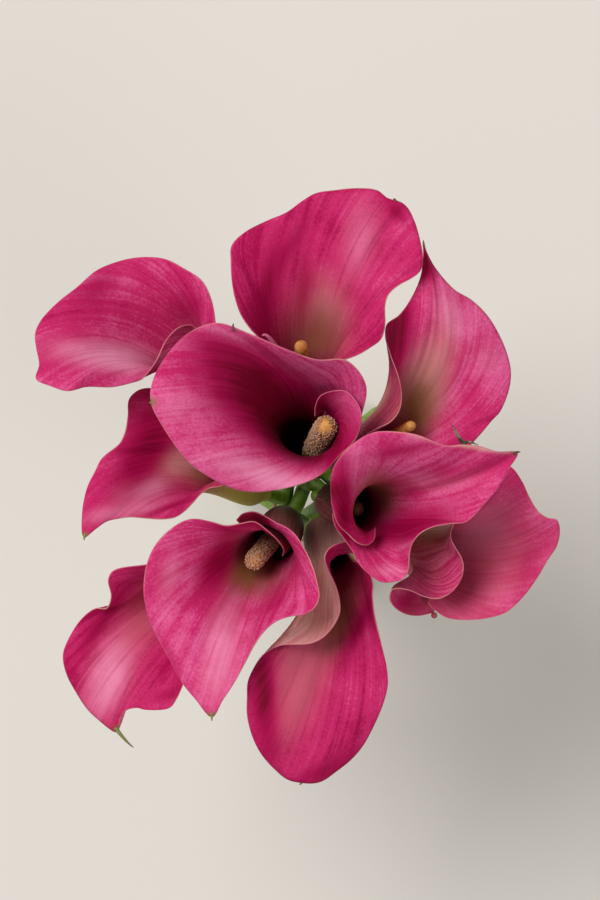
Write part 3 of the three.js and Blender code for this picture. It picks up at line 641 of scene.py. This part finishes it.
def make_spathe(flower, materials):
    name = flower["name"]
    look = LOOKS[name]
    tube = tube_frame(flower)
    rows = TUBE_ROWS + LIMB_ROWS
    stations = rim_stations(flower, tube, COLUMNS)
    points = [
        [spathe_point(station, i / COLUMNS, j, flower, tube, float(name))
         for j in range(rows + 1)]
        for i, station in enumerate(stations)
    ]
    edge, from_neck = distances(points)
    rim = [column[rows] for column in points]
    tips = rim_tips(look, rim)
    green_tips = [rim[k] for k, _, kind in tips if kind == "green"]
    bm, shade, cells = blank_grid(COLUMNS, rows, SHADES)
    for vert, (i, j) in cells.items():
        vert.co = in_place(points[i][j])
        vert[shade["edge"]] = edge[i][j]
        colour_point(vert, shade, points[i][j], look, tube, from_neck[i][j], green_tips)
    face_inwards(bm, cells, tube)
    places = [cells[vert] for vert in bm.verts]
    piece = new_piece(f"bloom_{name}", bm, materials, f"spathe_{name}")
    longest = max(range(COLUMNS + 1), key=lambda i: from_neck[i][rows])
    map_veins(piece, places, from_neck, (tips[0][0] if tips else longest) / COLUMNS)
    thicken(piece, places, edge)
    return tube, rim, tips


def rings(points, radii, sides, lobe=None):
    """Rings of points round a path, carried along it without twist."""
    tangent = (points[1] - points[0]).normalized()
    side = tangent.orthogonal().normalized()
    out = []
    for k, point in enumerate(points):
        ahead = points[min(k + 1, len(points) - 1)] - points[max(k - 1, 0)]
        side = (side - ahead.normalized() * side.dot(ahead.normalized())).normalized()
        up = ahead.normalized().cross(side)
        ring = []
        for n in range(sides):
            angle = math.tau * n / sides
            size = radii[k] * (lobe(angle, k) if lobe else 1.0)
            ring.append(point + side * (size * math.cos(angle))
                        + up * (size * math.sin(angle)))
        out.append(ring)
    return out


def merge(bm, part):
    """Move part's mesh into bm."""
    mesh = bpy.data.meshes.new("part")
    part.to_mesh(mesh)
    part.free()
    bm.from_mesh(mesh)
    bpy.data.meshes.remove(mesh)


def add_tube(bm, all_rings, slot=0, fill_slot=None):
    """A closed tube through the rings, added to bm, with its seam welded."""
    sides, steps = len(all_rings[0]), len(all_rings) - 1
    part, layers, cells = blank_grid(sides, steps, ["along"])
    for vert, (i, j) in cells.items():
        vert.co = in_place(all_rings[j][i % sides])
        vert[layers["along"]] = j / steps
    bmesh.ops.remove_doubles(part, verts=part.verts, dist=1e-7)
    ends = bmesh.ops.holes_fill(part, edges=part.edges, sides=0)["faces"]
    for face in part.faces:
        face.material_index = slot
    for face in ends:
        face.material_index = slot if fill_slot is None else fill_slot
    bmesh.ops.recalc_face_normals(part, faces=part.faces)
    merge(bm, part)


# ---- Spadices ----
SPADIX_SIDES = 72
SPADIX_STEPS = 110
FLORET_DEPTH = 0.16
# Florets round the spadix, pollen grains on it, shares of its length between which they
# lie thickly, grain size in mm.
SPADICES = {
  "01": (19, 3000, (0.45, 1.0), 0.33), "03": (16, 2600, (0.45, 1.0), 0.32),
  "05": (15, 260, (0.55, 0.93), 0.26),
}
PLAIN_SPADIX = (14, 0, (0, 1), 0.3)
GRAIN_BATCH = 150        # grains made at a time, as making them slows as a mesh grows
GRAIN_SPREAD = (0.6, 1.25)                   # smallest and largest, as shares of the size
GRAIN_STANDS = (0.1, 0.4, 0.7, 1.0, 1.6)     # how far grains stand out, in their radii
THICK_SHARE = 0.95       # share of the grains that lie where they lie thickly
STRAY_SPAN = (0.3, 0.98)                     # where the other grains lie
# Bloom 01's spadix has lost its pollen on this side, between these cosines from it.
BARE_SIDE = Vector((0.02, 0.08, 0.97)).normalized()
BARE_EDGE = (0.66, 0.95)
ROUND_END = 0.95         # the round end's radius, as a share of the spadix's
CROWDING = 1.6           # how the rings crowd towards that end
SPADIX_PROFILE = [(0, 0.5), (0.06, 0.72), (0.2, 0.9), (0.45, 0.97), (0.75, ROUND_END)]


def spadix_radius(share, radius, length):
    """The finger's radius along its length: straight, with a round end."""
    from_end = (1 - share) * length
    if from_end < radius:
        return radius * ROUND_END * math.sqrt(max(0.0, 1 - (1 - from_end / radius) ** 2))
    for (a, low), (b, high) in zip(SPADIX_PROFILE, SPADIX_PROFILE[1:]):
        if share <= b:
            return radius * lerp(low, high, smooth(share, a, b))
    return radius * ROUND_END


def make_spadix(flower, tube, materials):
    name = flower["name"]
    florets, grains, thickly, grain_size = SPADICES.get(name, PLAIN_SPADIX)
    foot = tube["base"] + tube["axis"] * (STEM_INSET + SPADIX_LIFT)
    reach = from_plan(flower["spadix"]["tip"]) - foot
    length, radius = reach.length, flower["spadix"]["radius"]
    ahead = reach.normalized()
    side = ahead.orthogonal().normalized()
    up = ahead.cross(side)
    pitch = math.tau * radius / florets

    def skin(angle, share):
        s = share * length
        a = florets * angle / 2 + math.pi * s / pitch
        b = florets * angle / 2 - math.pi * s / pitch
        bump = (math.cos(a) * math.cos(b)) ** 2
        size = max(spadix_radius(share, radius, length) - FLORET_DEPTH * (1 - bump), 0.02)
        return foot + ahead * s + side * (size * math.cos(angle)) + up * (
            size * math.sin(angle))

    bm = bmesh.new()
    spots = [k / SPADIX_STEPS for k in range(SPADIX_STEPS + 1)]
    spots = [1 - (1 - s) ** CROWDING for s in spots]
    add_tube(bm, [
        [skin(math.tau * n / SPADIX_SIDES, s) for n in range(SPADIX_SIDES)] for s in spots
    ])
    draw = random.Random(int(name))
    part = bmesh.new()
    for n in range(grains):
        if n % GRAIN_BATCH == 0:
            merge(bm, part)
            part = bmesh.new()
        share = draw.uniform(*(thickly if draw.random() < THICK_SHARE else STRAY_SPAN))
        share = min(share, 0.999)
        angle = draw.uniform(0, math.tau)
        size = grain_size * draw.uniform(*GRAIN_SPREAD)
        spot = skin(angle, share)
        out = (spot - foot - ahead * min(share * length, length - radius)).normalized()
        if name == "01" and draw.random() < smooth(out.dot(BARE_SIDE), *BARE_EDGE):
            continue
        spot += out * (size * draw.choice(GRAIN_STANDS))
        made = bmesh.ops.create_icosphere(
            part, subdivisions=1, radius=size * MM,
            matrix=Matrix.Translation(in_place(spot)))
        # A dict keeps the faces in order, so that each run gives them the same tones.
        for face in dict.fromkeys(f for v in made["verts"] for f in v.link_faces):
            face.material_index = draw.choice((1, 1, 2))
    merge(bm, part)
    new_piece(f"spadix_piece_{name}", bm, materials, f"spadix_{name}")


# ---- Stems ----
STEM_SIDES = 28
STEM_STEPS = 90
FINE_STEPS = 200         # steps of the straight and of the bend before they're evened out


def stem_path(flower, tube):
    """Points from the cut foot to the flower, evenly spaced."""
    centre = from_plan((*TIE_PLAN, TIE_HEIGHT))
    outward = tube["base"] - centre
    inner = flower["ring"] == "inner"
    lead = math.radians(INNER_LEAD if inner else OUTER_LEAD)
    angle = math.atan2(outward.y, outward.x) - lead
    ring = INNER_RING if inner else OUTER_RING
    slope = INNER_SLOPE if inner else OUTER_SLOPE
    spoke = Vector((math.cos(angle), math.sin(angle), 0))
    run = Vector((-slope * math.sin(angle), slope * math.cos(angle), 1))
    tied = centre + spoke * ring
    foot = tied - run * TIE_HEIGHT
    clear = tied + run * TIE_WIDTH
    top = tube["base"] + tube["axis"] * STEM_INSET
    bend = STEM_BEND * (top - clear).length
    curve = [clear, clear + run.normalized() * bend, top - tube["axis"] * bend, top]
    dense = [foot.lerp(clear, k / FINE_STEPS) for k in range(FINE_STEPS)]
    dense += [bezier(*curve, k / FINE_STEPS) for k in range(FINE_STEPS + 1)]
    reach = [0.0]
    for a, b in zip(dense, dense[1:]):
        reach.append(reach[-1] + (b - a).length)
    points = []
    k = 0
    for n in range(STEM_STEPS + 1):
        want = reach[-1] * n / STEM_STEPS
        while k < len(reach) - 2 and reach[k + 1] < want:
            k += 1
        part = (want - reach[k]) / (reach[k + 1] - reach[k])
        points.append(dense[k].lerp(dense[k + 1], part))
    return points


def make_stem(flower, tube, materials):
    points = stem_path(flower, tube)
    radii = [lerp(STEM_RADIUS_FOOT, STEM_RADIUS_TOP, k / STEM_STEPS)
             for k in range(STEM_STEPS + 1)]
    skin = rings(points, radii, STEM_SIDES)
    start = (points[1] - points[0]).normalized()
    skin[0] = [p - start * (p.z / start.z) for p in skin[0]]
    bm = bmesh.new()
    add_tube(bm, skin, fill_slot=1)
    name = flower["name"]
    new_piece(f"stalk_{name}", bm, materials, f"stem_{name}")


# ---- The cord that binds the bunch ----
CORD_RADIUS = 0.88
CORD_TURNS = 7
CORD_TWIST = 2.6         # mm of cord for each turn of its three strands
CORD_LOBE = 0.14
CORD_SIDES = 12
TURN_STEPS = 150         # rings of the cord in each turn
END_STEPS = 40           # and in each loose end
LOOSE_END = 0.9          # the loose ends' radius, as a share of the cord's
KNOT_ENDS = ((-14, -9), (11, -13))       # how far each end spreads and drops, mm


def cord_lobe(step_length):
    """The outline of three strands that turn as the cord runs on."""

    def lobe(angle, k):
        turned = 3 * (angle + math.tau * k * step_length / (3 * CORD_TWIST))
        return 1 - CORD_LOBE + CORD_LOBE * math.cos(turned)
    return lobe


def make_tie(material):
    centre = from_plan((*TIE_PLAN, TIE_HEIGHT))
    radius = OUTER_RING + STEM_RADIUS_FOOT + TIE_SLACK + TIE_WALL / 2
    steps = TURN_STEPS * CORD_TURNS
    bm = bmesh.new()
    path = []
    for k in range(steps + 1):
        turn = math.tau * CORD_TURNS * k / steps
        height = lerp(CORD_RADIUS - TIE_WIDTH / 2, TIE_WIDTH / 2 - CORD_RADIUS, k / steps)
        around = Vector((radius * math.cos(turn), radius * math.sin(turn), height))
        path.append(centre + around)
    lobe = cord_lobe((path[1] - path[0]).length)
    add_tube(bm, rings(path, [CORD_RADIUS] * len(path), CORD_SIDES, lobe))
    front = centre + Vector((0, -radius - CORD_RADIUS * 0.6, 0))
    for across, drop in KNOT_ENDS:
        end = front + Vector((across * 0.55, -CORD_RADIUS * 0.9, drop))
        curve = [front + Vector((-across * 0.16, CORD_RADIUS * 0.4, 3)),
                 front + Vector((across * 0.3, -CORD_RADIUS * 1.5, 3.5)),
                 front + Vector((across * 0.55, -CORD_RADIUS * 2.0, -2)), end]
        path = [bezier(*curve, k / END_STEPS) for k in range(END_STEPS + 1)]
        lobe = cord_lobe((path[1] - path[0]).length)
        add_tube(bm, rings(path, [CORD_RADIUS * LOOSE_END] * len(path), CORD_SIDES, lobe))
    new_piece("cord_binding", bm, [material], "tie")


# ---- Rim tips and small curls ----
HORN_SIDES = 12
HORN_STEPS = 14
HORN_ROOT = 1.8          # mm that a horn is sunk into the sheet
HORN_DROOP = 0.3         # how far its end hangs, as a share of its length
RIM_LOOK = 5             # stations on each side that tell which way the rim faces


def make_tips(name, rim, tips, materials):
    """Short pointed horns where the rim ends in tips, rooted in the sheet."""
    bm = bmesh.new()
    for k, reach, kind in tips:
        root = rim[k]
        before, after = rim[max(k - RIM_LOOK, 0)], rim[min(k + RIM_LOOK, len(rim) - 1)]
        out = (root - (before + after) / 2).normalized()
        length = reach.length
        droop = Vector((0, 0, -HORN_DROOP * length))
        curve = [root - out * HORN_ROOT, root + out * (0.3 * length),
                 root + reach * 0.6 + out * (0.25 * length) + droop * 0.3,
                 root + reach + droop]
        path = [bezier(*curve, n / HORN_STEPS) for n in range(HORN_STEPS + 1)]
        thick = 0.36 + 0.2 * math.sqrt(length)
        radii = [thick * (1 - n / (HORN_STEPS + 0.6)) ** 0.8 for n in range(HORN_STEPS + 1)]
        add_tube(bm, rings(path, radii, HORN_SIDES), slot=("green", "dark").index(kind))
    if tips:
        new_piece(f"rim_tip_{name}", bm, materials, None)
    else:
        bm.free()


# The dry split tip that stands up behind bloom 02's upper rim, and the small fold at the
# left of bloom 05's lower rim: the plan places of each prong's curve, with heights, and its
# radius at both ends, mm.
DRY_PRONGS = (
    (((66.2, 1.6, 293), (64.2, 3.6, 297), (62.4, 6.8, 299), (61, 10, 300)), 1.15, 0.3),
    (((65.2, 2.6, 294), (67.2, 4, 297), (68.8, 3, 298), (71.4, 1.9, 297)), 0.8, 0.2),
)
PINK_FOLD = (
    (((-15.2, 45.6, 270), (-13.8, 47, 271), (-12, 44.8, 269), (-9.8, 41.4, 265)), 0.3, 1.2),
)
PRONG_STEPS = 30
PRONG_TAPER = 0.8
BUD_RADIUS = 1.35        # the curled end of bloom 07's margin
BUD_PLACE = Vector((0.5, -1.0, 0.2))     # from the end of the rim to its middle


def make_prongs(name, prongs, material):
    bm = bmesh.new()
    for places, thick, thin in prongs:
        curve = [from_plan(place) for place in places]
        shares = [k / PRONG_STEPS for k in range(PRONG_STEPS + 1)]
        path = [bezier(*curve, share) for share in shares]
        radii = [lerp(thick, thin, share ** PRONG_TAPER) for share in shares]
        add_tube(bm, rings(path, radii, HORN_SIDES))
    new_piece(name, bm, [material], None)


def make_margin_bud(rim, material):
    """The small curled bud where bloom 07's outer margin ends."""
    bm = bmesh.new()
    middle = Matrix.Translation(in_place(rim[0] + BUD_PLACE))
    bmesh.ops.create_icosphere(bm, subdivisions=3, radius=BUD_RADIUS * MM, matrix=middle)
    new_piece("margin_bud", bm, [material], None)


# ---- Materials ----
def new_material(name):
    material = bpy.data.materials.new(name)
    material.use_nodes = True
    tree = material.node_tree
    return material, tree, tree.nodes["Principled BSDF"]


def join(tree, value, socket):
    if isinstance(value, bpy.types.NodeSocket):
        tree.links.new(value, socket)
    else:
        socket.default_value = value


def attribute(tree, name):
    node = tree.nodes.new("ShaderNodeAttribute")
    node.attribute_name = name
    return node.outputs["Fac"]


def coat(tree, shader, colour, roughness, shine=None):
    join(tree, colour, shader.inputs["Base Color"])
    shader.inputs["Roughness"].default_value = roughness
    if shine is not None:
        shader.inputs["Specular IOR Level"].default_value = shine


def petal_map(tree, scale):
    """The petal's own map, drawn out along its veins."""
    source = tree.nodes.new("ShaderNodeUVMap")
    source.uv_map = "petal"
    stretch = tree.nodes.new("ShaderNodeMapping")
    stretch.inputs["Scale"].default_value = scale
    tree.links.new(source.outputs["UV"], stretch.inputs["Vector"])
    return stretch.outputs["Vector"]


def object_map(tree):
    return tree.nodes.new("ShaderNodeTexCoord").outputs["Object"]


def noise(tree, vector, scale=1.0, detail=3.0):
    node = tree.nodes.new("ShaderNodeTexNoise")
    node.inputs["Scale"].default_value = scale
    node.inputs["Detail"].default_value = detail
    node.inputs["Roughness"].default_value = 0.55
    tree.links.new(vector, node.inputs["Vector"])
    return node.outputs["Fac"]


def span(tree, value, low, high, start=0.0, end=1.0):
    """value between low and high, eased to between start and end."""
    node = tree.nodes.new("ShaderNodeMapRange")
    node.interpolation_type = "SMOOTHSTEP"
    join(tree, value, node.inputs["Value"])
    for key, number in (("From Min", low), ("From Max", high), ("To Min", start), ("To Max", end)):
        node.inputs[key].default_value = number
    return node.outputs["Result"]


def sum_of(tree, a, b, operation="ADD"):
    node = tree.nodes.new("ShaderNodeMath")
    node.operation = operation
    join(tree, a, node.inputs[0])
    join(tree, b, node.inputs[1])
    return node.outputs[0]


def blend(tree, share, first, second):
    node = tree.nodes.new("ShaderNodeMix")
    node.data_type = "RGBA"
    join(tree, share, node.inputs[0])
    join(tree, first, node.inputs[6])
    join(tree, second, node.inputs[7])
    return node.outputs[2]


def bump(tree, shader, height, distance, strength=1.0):
    node = tree.nodes.new("ShaderNodeBump")
    node.inputs["Distance"].default_value = distance
    node.inputs["Strength"].default_value = strength
    tree.links.new(height, node.inputs["Height"])
    tree.links.new(node.outputs["Normal"], shader.inputs["Normal"])


# Linear colours.
# Wine colour, also used as painted shade in the throat and its funnel.
WINE_AND_SHADE = (0.160, 0.0005, 0.016, 1)
CRIMSON = (0.35, 0.003, 0.064, 1)
MAGENTA = (0.505, 0.018, 0.119, 1)
PINK = (0.65, 0.090, 0.255, 1)
PALE_PINK = (0.78, 0.28, 0.45, 1)
PALE_TAN = (0.62, 0.25, 0.25, 1)
OLIVE = (0.235, 0.085, 0.044, 1)
MOSS = (0.27, 0.17, 0.035, 1)
DUSK = (0.52, 0.092, 0.15, 1)
# The throat's own near black, also used as painted shade deep in the tube.
THROAT_DARK_AND_SHADE = (0.020, 0.003, 0.001, 1)
CREAM = (0.60, 0.25, 0.21, 1)
TIP_GREEN = (0.16, 0.15, 0.04, 1)
TUBE_GREEN = (0.58, 0.54, 0.10, 1)
TUBE_BROWN = (0.058, 0.018, 0.003, 1)
# Painted shade on the outside, in a dark wine colour.
DARK_WINE_AND_SHADE = (0.060, 0.003, 0.005, 1)
BUFF = (0.75, 0.40, 0.30, 1)
RIM_PINK = (0.54, 0.10, 0.18, 1)
# Each of these is a darker and a lighter tone.
SLEEVE_PINK = ((0.42, 0.012, 0.09, 1), (0.60, 0.085, 0.20, 1))
SLEEVE_ROSE = ((0.25, 0.045, 0.045, 1), (0.50, 0.19, 0.15, 1))
# Pale tan, partly painted light on faces turned from the lamp or shaded by other blooms.
SLEEVE_PALE_AND_LIT = ((0.84, 0.34, 0.31, 1), (0.93, 0.56, 0.49, 1))
GREEN_HORN = ((0.10, 0.12, 0.025, 1), (0.27, 0.25, 0.08, 1))
DARK_HORN = ((0.05, 0.012, 0.010, 1), (0.15, 0.05, 0.03, 1))
FOLD_PINK = ((0.50, 0.06, 0.20, 1), (0.70, 0.20, 0.36, 1))
DRY_BROWN = ((0.035, 0.03, 0.015, 1), (0.19, 0.19, 0.12, 1))
SPADIX_YELLOW = ((0.44, 0.15, 0.03, 1), (0.66, 0.33, 0.08, 1))
# Painted shade: the darker skin of the spadix deep in bloom 02's throat.
SPADIX_SHADED = ((0.08, 0.028, 0.010, 1), (0.20, 0.07, 0.02, 1))
POLLEN_TAN = ((0.40, 0.18, 0.09, 1), (0.52, 0.28, 0.15, 1))
POLLEN_PALE = ((0.44, 0.28, 0.19, 1), (0.58, 0.41, 0.31, 1))
STEM_GREEN = ((0.10, 0.22, 0.004, 1), (0.19, 0.36, 0.010, 1))
CUT_PITH = ((0.36, 0.42, 0.18, 1), (0.66, 0.68, 0.44, 1))
CORD_TAN = ((0.30, 0.19, 0.085, 1), (0.58, 0.43, 0.24, 1))
HORN_END = (0.05, 0.03, 0.012, 1)
FOLD_END = (0.55, 0.10, 0.24, 1)
SPADIX_FOOT = (0.07, 0.03, 0.012, 1)
STEM_FOOT = (0.26, 0.38, 0.09, 1)
STEM_FLECK = (0.20, 0.07, 0.05, 1)
CORD_SHADE = (0.24, 0.15, 0.07, 1)
FLOOR_PALE = (0.64, 0.61, 0.57, 1)


def vein_tones(tree):
    """Veins, fine streaks, cloudy patches and grain of a petal, each about 0.5."""
    veins = noise(tree, petal_map(tree, (60, 1.6, 1)), detail=4)
    fine = noise(tree, petal_map(tree, (240, 7, 1)), detail=3)
    clouds = noise(tree, object_map(tree), scale=50, detail=4)
    grain = noise(tree, object_map(tree), scale=900, detail=3)
    return veins, fine, clouds, grain


def weighed(tree, *parts):
    """The sum of each value's swing about 0.5, times its weight."""
    total = 0.0
    for value, weight in parts:
        swing = sum_of(tree, sum_of(tree, value, -0.5), weight, "MULTIPLY")
        total = sum_of(tree, swing, total)
    return total


def rim_line(tree, colour):
    """The thin pale line along the rim, stronger in some places than in others."""
    patches = span(tree, noise(tree, object_map(tree), scale=45, detail=2), 0.38, 0.65, 0.1, 0.6)
    close = span(tree, attribute(tree, "edge"), 0.1, 0.5, 1.0, 0.0)
    return blend(tree, sum_of(tree, close, patches, "MULTIPLY"), colour, CREAM)


def petal_inside():
    material, tree, shader = new_material("petal_inside")
    veins, fine, clouds, grain = vein_tones(tree)
    broad = noise(tree, petal_map(tree, (15, 1.4, 1)), detail=2)
    light = weighed(tree, (veins, 0.5), (fine, 0.25), (clouds, 0.7), (grain, 0.42), (broad, 0.5))
    light = sum_of(tree, light, sum_of(tree, attribute(tree, "tone"), 0.5))
    colour = blend(tree, span(tree, light, 0.18, 0.42), CRIMSON, MAGENTA)
    colour = blend(tree, span(tree, light, 0.42, 0.72), colour, PINK)
    colour = blend(tree, span(tree, light, 0.64, 1.1), colour, PALE_PINK)
    mottle = span(tree, weighed(tree, (veins, 1.2), (clouds, 0.8)), -0.3, 0.3, 0.75, 1.15)
    # The pale-pink ovals are painted highlight, partly the petal's paler streaks.
    for kind, paint in (("highlight_and_pale", PALE_PINK), ("tan", PALE_TAN), ("olive", OLIVE), ("moss", MOSS),
                        ("dusk", DUSK), ("buff", PALE_TAN)):
        share = sum_of(tree, attribute(tree, kind), mottle, "MULTIPLY")
        colour = blend(tree, span(tree, share, 0.0, 1.0), colour, paint)
    # Wine colour and painted shade, from the wine ovals and the throat's dark.
    wine_and_shade = sum_of(tree, attribute(tree, "wine_and_shade"), mottle, "MULTIPLY")
    wine_and_shade = sum_of(tree, wine_and_shade, attribute(tree, "throat_dark_and_shade"))
    colour = blend(tree, span(tree, wine_and_shade, 0.0, 0.6), colour, CRIMSON)
    colour = blend(tree, span(tree, wine_and_shade, 0.4, 1.0), colour, WINE_AND_SHADE)
    # Painted shade in and round the throat, towards near black.
    dark = sum_of(tree, attribute(tree, "throat_dark_and_shade"), 0.75, "MULTIPLY")
    dark = sum_of(tree, dark, attribute(tree, "dark"))
    colour = blend(tree, span(tree, dark, 0.2, 0.9), colour, THROAT_DARK_AND_SHADE)
    colour = rim_line(tree, colour)
    colour = blend(tree, attribute(tree, "tip"), colour, TIP_GREEN)
    coat(tree, shader, colour, 0.5, 0.06)
    bump(tree, shader, weighed(tree, (veins, 1.0), (fine, 0.5)), 0.0006, 0.45)
    return material


def petal_outside():
    material, tree, shader = new_material("petal_outside")
    veins, fine, clouds, grain = vein_tones(tree)
    light = weighed(tree, (veins, 1.0), (fine, 0.6), (clouds, 0.4), (grain, 0.3))
    lit = span(tree, light, -0.2, 0.22)
    pink = blend(tree, lit, *SLEEVE_PINK)
    rose = blend(tree, lit, *SLEEVE_ROSE)
    # The pale tan is partly painted light, on faces turned from the lamp or shaded by other
    # blooms.
    rose = blend(tree, attribute(tree, "pale"), rose, blend(tree, lit, *SLEEVE_PALE_AND_LIT))
    near_rim = span(tree, attribute(tree, "edge"), 1, 12, 0.35, 0.0)
    flush = sum_of(tree, attribute(tree, "blush"), near_rim)
    colour = blend(tree, flush, rose, pink)
    colour = blend(tree, attribute(tree, "buff"), colour, BUFF)
    colour = blend(tree, attribute(tree, "moss"), colour, MOSS)
    colour = blend(tree, attribute(tree, "brown"), colour, TUBE_BROWN)
    colour = blend(tree, attribute(tree, "green"), colour, TUBE_GREEN)
    # Painted shade where the wine ovals fall on the outside.
    colour = blend(tree, attribute(tree, "wine_and_shade"), colour, DARK_WINE_AND_SHADE)
    colour = rim_line(tree, colour)
    colour = blend(tree, attribute(tree, "tip"), colour, TIP_GREEN)
    coat(tree, shader, colour, 0.5, 0.08)
    bump(tree, shader, weighed(tree, (veins, 1.0), (fine, 0.6)), 0.0006, 0.55)
    return material


def petal_rim():
    material, tree, shader = new_material("petal_rim")
    patches = noise(tree, object_map(tree), scale=45, detail=2)
    colour = blend(tree, span(tree, patches, 0.42, 0.7), RIM_PINK, CREAM)
    colour = blend(tree, attribute(tree, "tip"), colour, TIP_GREEN)
    coat(tree, shader, colour, 0.4)
    return material


def tip_horn(name, tones, end=HORN_END):
    material, tree, shader = new_material(name)
    along = attribute(tree, "along")
    streaks = noise(tree, object_map(tree), scale=700, detail=2)
    colour = blend(tree, streaks, *tones)
    colour = blend(tree, span(tree, along, 0.55, 1.0, 0.0, 0.8), colour, end)
    coat(tree, shader, colour, 0.5)
    bump(tree, shader, streaks, 0.0002, 0.6)
    return material


def dry_end():
    material, tree, shader = new_material("dry_end")
    streaks = noise(tree, object_map(tree), scale=500, detail=3)
    coat(tree, shader, blend(tree, span(tree, streaks, 0.4, 0.62), *DRY_BROWN), 0.65)
    bump(tree, shader, streaks, 0.0002, 0.8)
    return material


def spadix_skin(name, tones):
    material, tree, shader = new_material(name)
    patches = noise(tree, object_map(tree), scale=320, detail=3)
    along = attribute(tree, "along")
    colour = blend(tree, span(tree, patches, 0.35, 0.68), *tones)
    colour = blend(tree, span(tree, along, 0.1, 0.75, 0.8, 0.0), colour, SPADIX_FOOT)
    coat(tree, shader, colour, 0.6)
    bump(tree, shader, noise(tree, object_map(tree), scale=1500, detail=2), 0.0002, 0.7)
    return material


def pollen(name, tones):
    material, tree, shader = new_material(name)
    patches = noise(tree, object_map(tree), scale=800, detail=2)
    coat(tree, shader, blend(tree, span(tree, patches, 0.3, 0.7), *tones), 0.85)
    return material


def stem_skin():
    material, tree, shader = new_material("stem_skin")
    along = attribute(tree, "along")
    stripes = noise(tree, object_map(tree), scale=260, detail=3)
    flecks = noise(tree, object_map(tree), scale=420, detail=3)
    colour = blend(tree, span(tree, stripes, 0.3, 0.7), *STEM_GREEN)
    colour = blend(tree, span(tree, along, 0.0, 0.18, 0.6, 0.0), colour, STEM_FOOT)
    flecked = span(tree, along, 0.6, 1.0, 0.0, 0.6)
    flecked = sum_of(tree, flecked, span(tree, flecks, 0.52, 0.68), "MULTIPLY")
    coat(tree, shader, blend(tree, flecked, colour, STEM_FLECK), 0.5, 0.2)
    bump(tree, shader, stripes, 0.0003, 0.35)
    return material


def stem_cut():
    material, tree, shader = new_material("stem_cut")
    pores = noise(tree, object_map(tree), scale=2500, detail=1)
    coat(tree, shader, blend(tree, span(tree, pores, 0.4, 0.6), *CUT_PITH), 0.55)
    bump(tree, shader, pores, 0.0003, 0.6)
    return material


def cord_fibre():
    material, tree, shader = new_material("cord_fibre")
    fibres = noise(tree, object_map(tree), scale=1700, detail=4)
    patches = noise(tree, object_map(tree), scale=150, detail=2)
    colour = blend(tree, span(tree, fibres, 0.3, 0.7), *CORD_TAN)
    colour = blend(tree, span(tree, patches, 0.4, 0.7, 0.0, 0.4), colour, CORD_SHADE)
    coat(tree, shader, colour, 0.9)
    bump(tree, shader, fibres, 0.0003, 0.9)
    return material


def floor_finish():
    material, tree, shader = new_material("pale_floor")
    coat(tree, shader, FLOOR_PALE, 0.7)
    return material


# ---- The bunch ----
petal = [petal_inside(), petal_outside(), petal_rim()]
horns = [tip_horn("green_tip", GREEN_HORN), tip_horn("dark_tip", DARK_HORN)]
pink_fold = tip_horn("pink_fold", FOLD_PINK, FOLD_END)
pollen_tan = pollen("pollen_tan", POLLEN_TAN)
pollen_pale = pollen("pollen_pale", POLLEN_PALE)
yellow_skin = spadix_skin("spadix_yellow", SPADIX_YELLOW)
shaded_skin = spadix_skin("spadix_shaded", SPADIX_SHADED)
stalk = [stem_skin(), stem_cut()]
for flower in FLOWERS:
    name = flower["name"]
    tube, rim, tips = make_spathe(flower, petal)
    make_tips(name, rim, tips, horns)
    # Bloom 02's spadix, deep in its throat, gets a darker skin: painted shade.
    skin = shaded_skin if name == "02" else yellow_skin
    make_spadix(flower, tube, [skin, pollen_tan, pollen_pale])
    make_stem(flower, tube, stalk)
    if name == "07":
        make_margin_bud(rim, petal[1])
make_tie(cord_fibre())
make_prongs("dry_split_tip", DRY_PRONGS, dry_end())
make_prongs("rim_fold_05", PINK_FOLD, pink_fold)

# ---- Floor, light and camera ----
FLOOR_SIDE = 40          # m
bm, _, _ = blank_grid(4, 4)
bmesh.ops.scale(bm, vec=(FLOOR_SIDE, FLOOR_SIDE, 1), verts=bm.verts)
floor_mesh = bpy.data.meshes.new("floor")
bm.to_mesh(floor_mesh)
bm.free()
floor_mesh.materials.append(floor_finish())
floor = bpy.data.objects.new("floor", floor_mesh)
bpy.context.collection.objects.link(floor)

world = bpy.data.worlds.new("room")
world.use_nodes = True
background = world.node_tree.nodes["Background"].inputs
background["Color"].default_value = (1.0, 0.99, 0.97, 1)
background["Strength"].default_value = 0.40
bpy.context.scene.world = world

LIGHT_AIM = Vector((0, 0, 0.28))


def area_light(name, place, size, power, colour):
    data = bpy.data.lights.new(name, "AREA")
    data.shape = "DISK"
    data.size = size
    data.energy = power
    data.color = colour
    lamp = bpy.data.objects.new(name, data)
    lamp.location = place
    aim = LIGHT_AIM - Vector(place)
    lamp.rotation_euler = aim.to_track_quat("-Z", "Y").to_euler()
    bpy.context.collection.objects.link(lamp)


area_light("key", (-2.4, 2.0, 5.0), 3.2, 280, (1.0, 0.98, 0.96))
area_light("fill", (3.4, -2.6, 4.4), 4.0, 80, (1.0, 0.99, 0.98))

bpy.context.scene.view_settings.view_transform = "Standard"

LENS = 120.0             # 240 x 360 mm at PLAN_HEIGHT fill the photograph's 600 x 900 pixels
camera_data = bpy.data.cameras.new("camera")
camera_data.lens = LENS
camera_data.sensor_width = 36.0
camera_data.sensor_fit = "AUTO"
camera = bpy.data.objects.new("camera", camera_data)
camera.location = (SHIFT.x * MM, SHIFT.y * MM, EYE_HEIGHT * MM)
bpy.context.collection.objects.link(camera)
bpy.context.scene.camera = camera
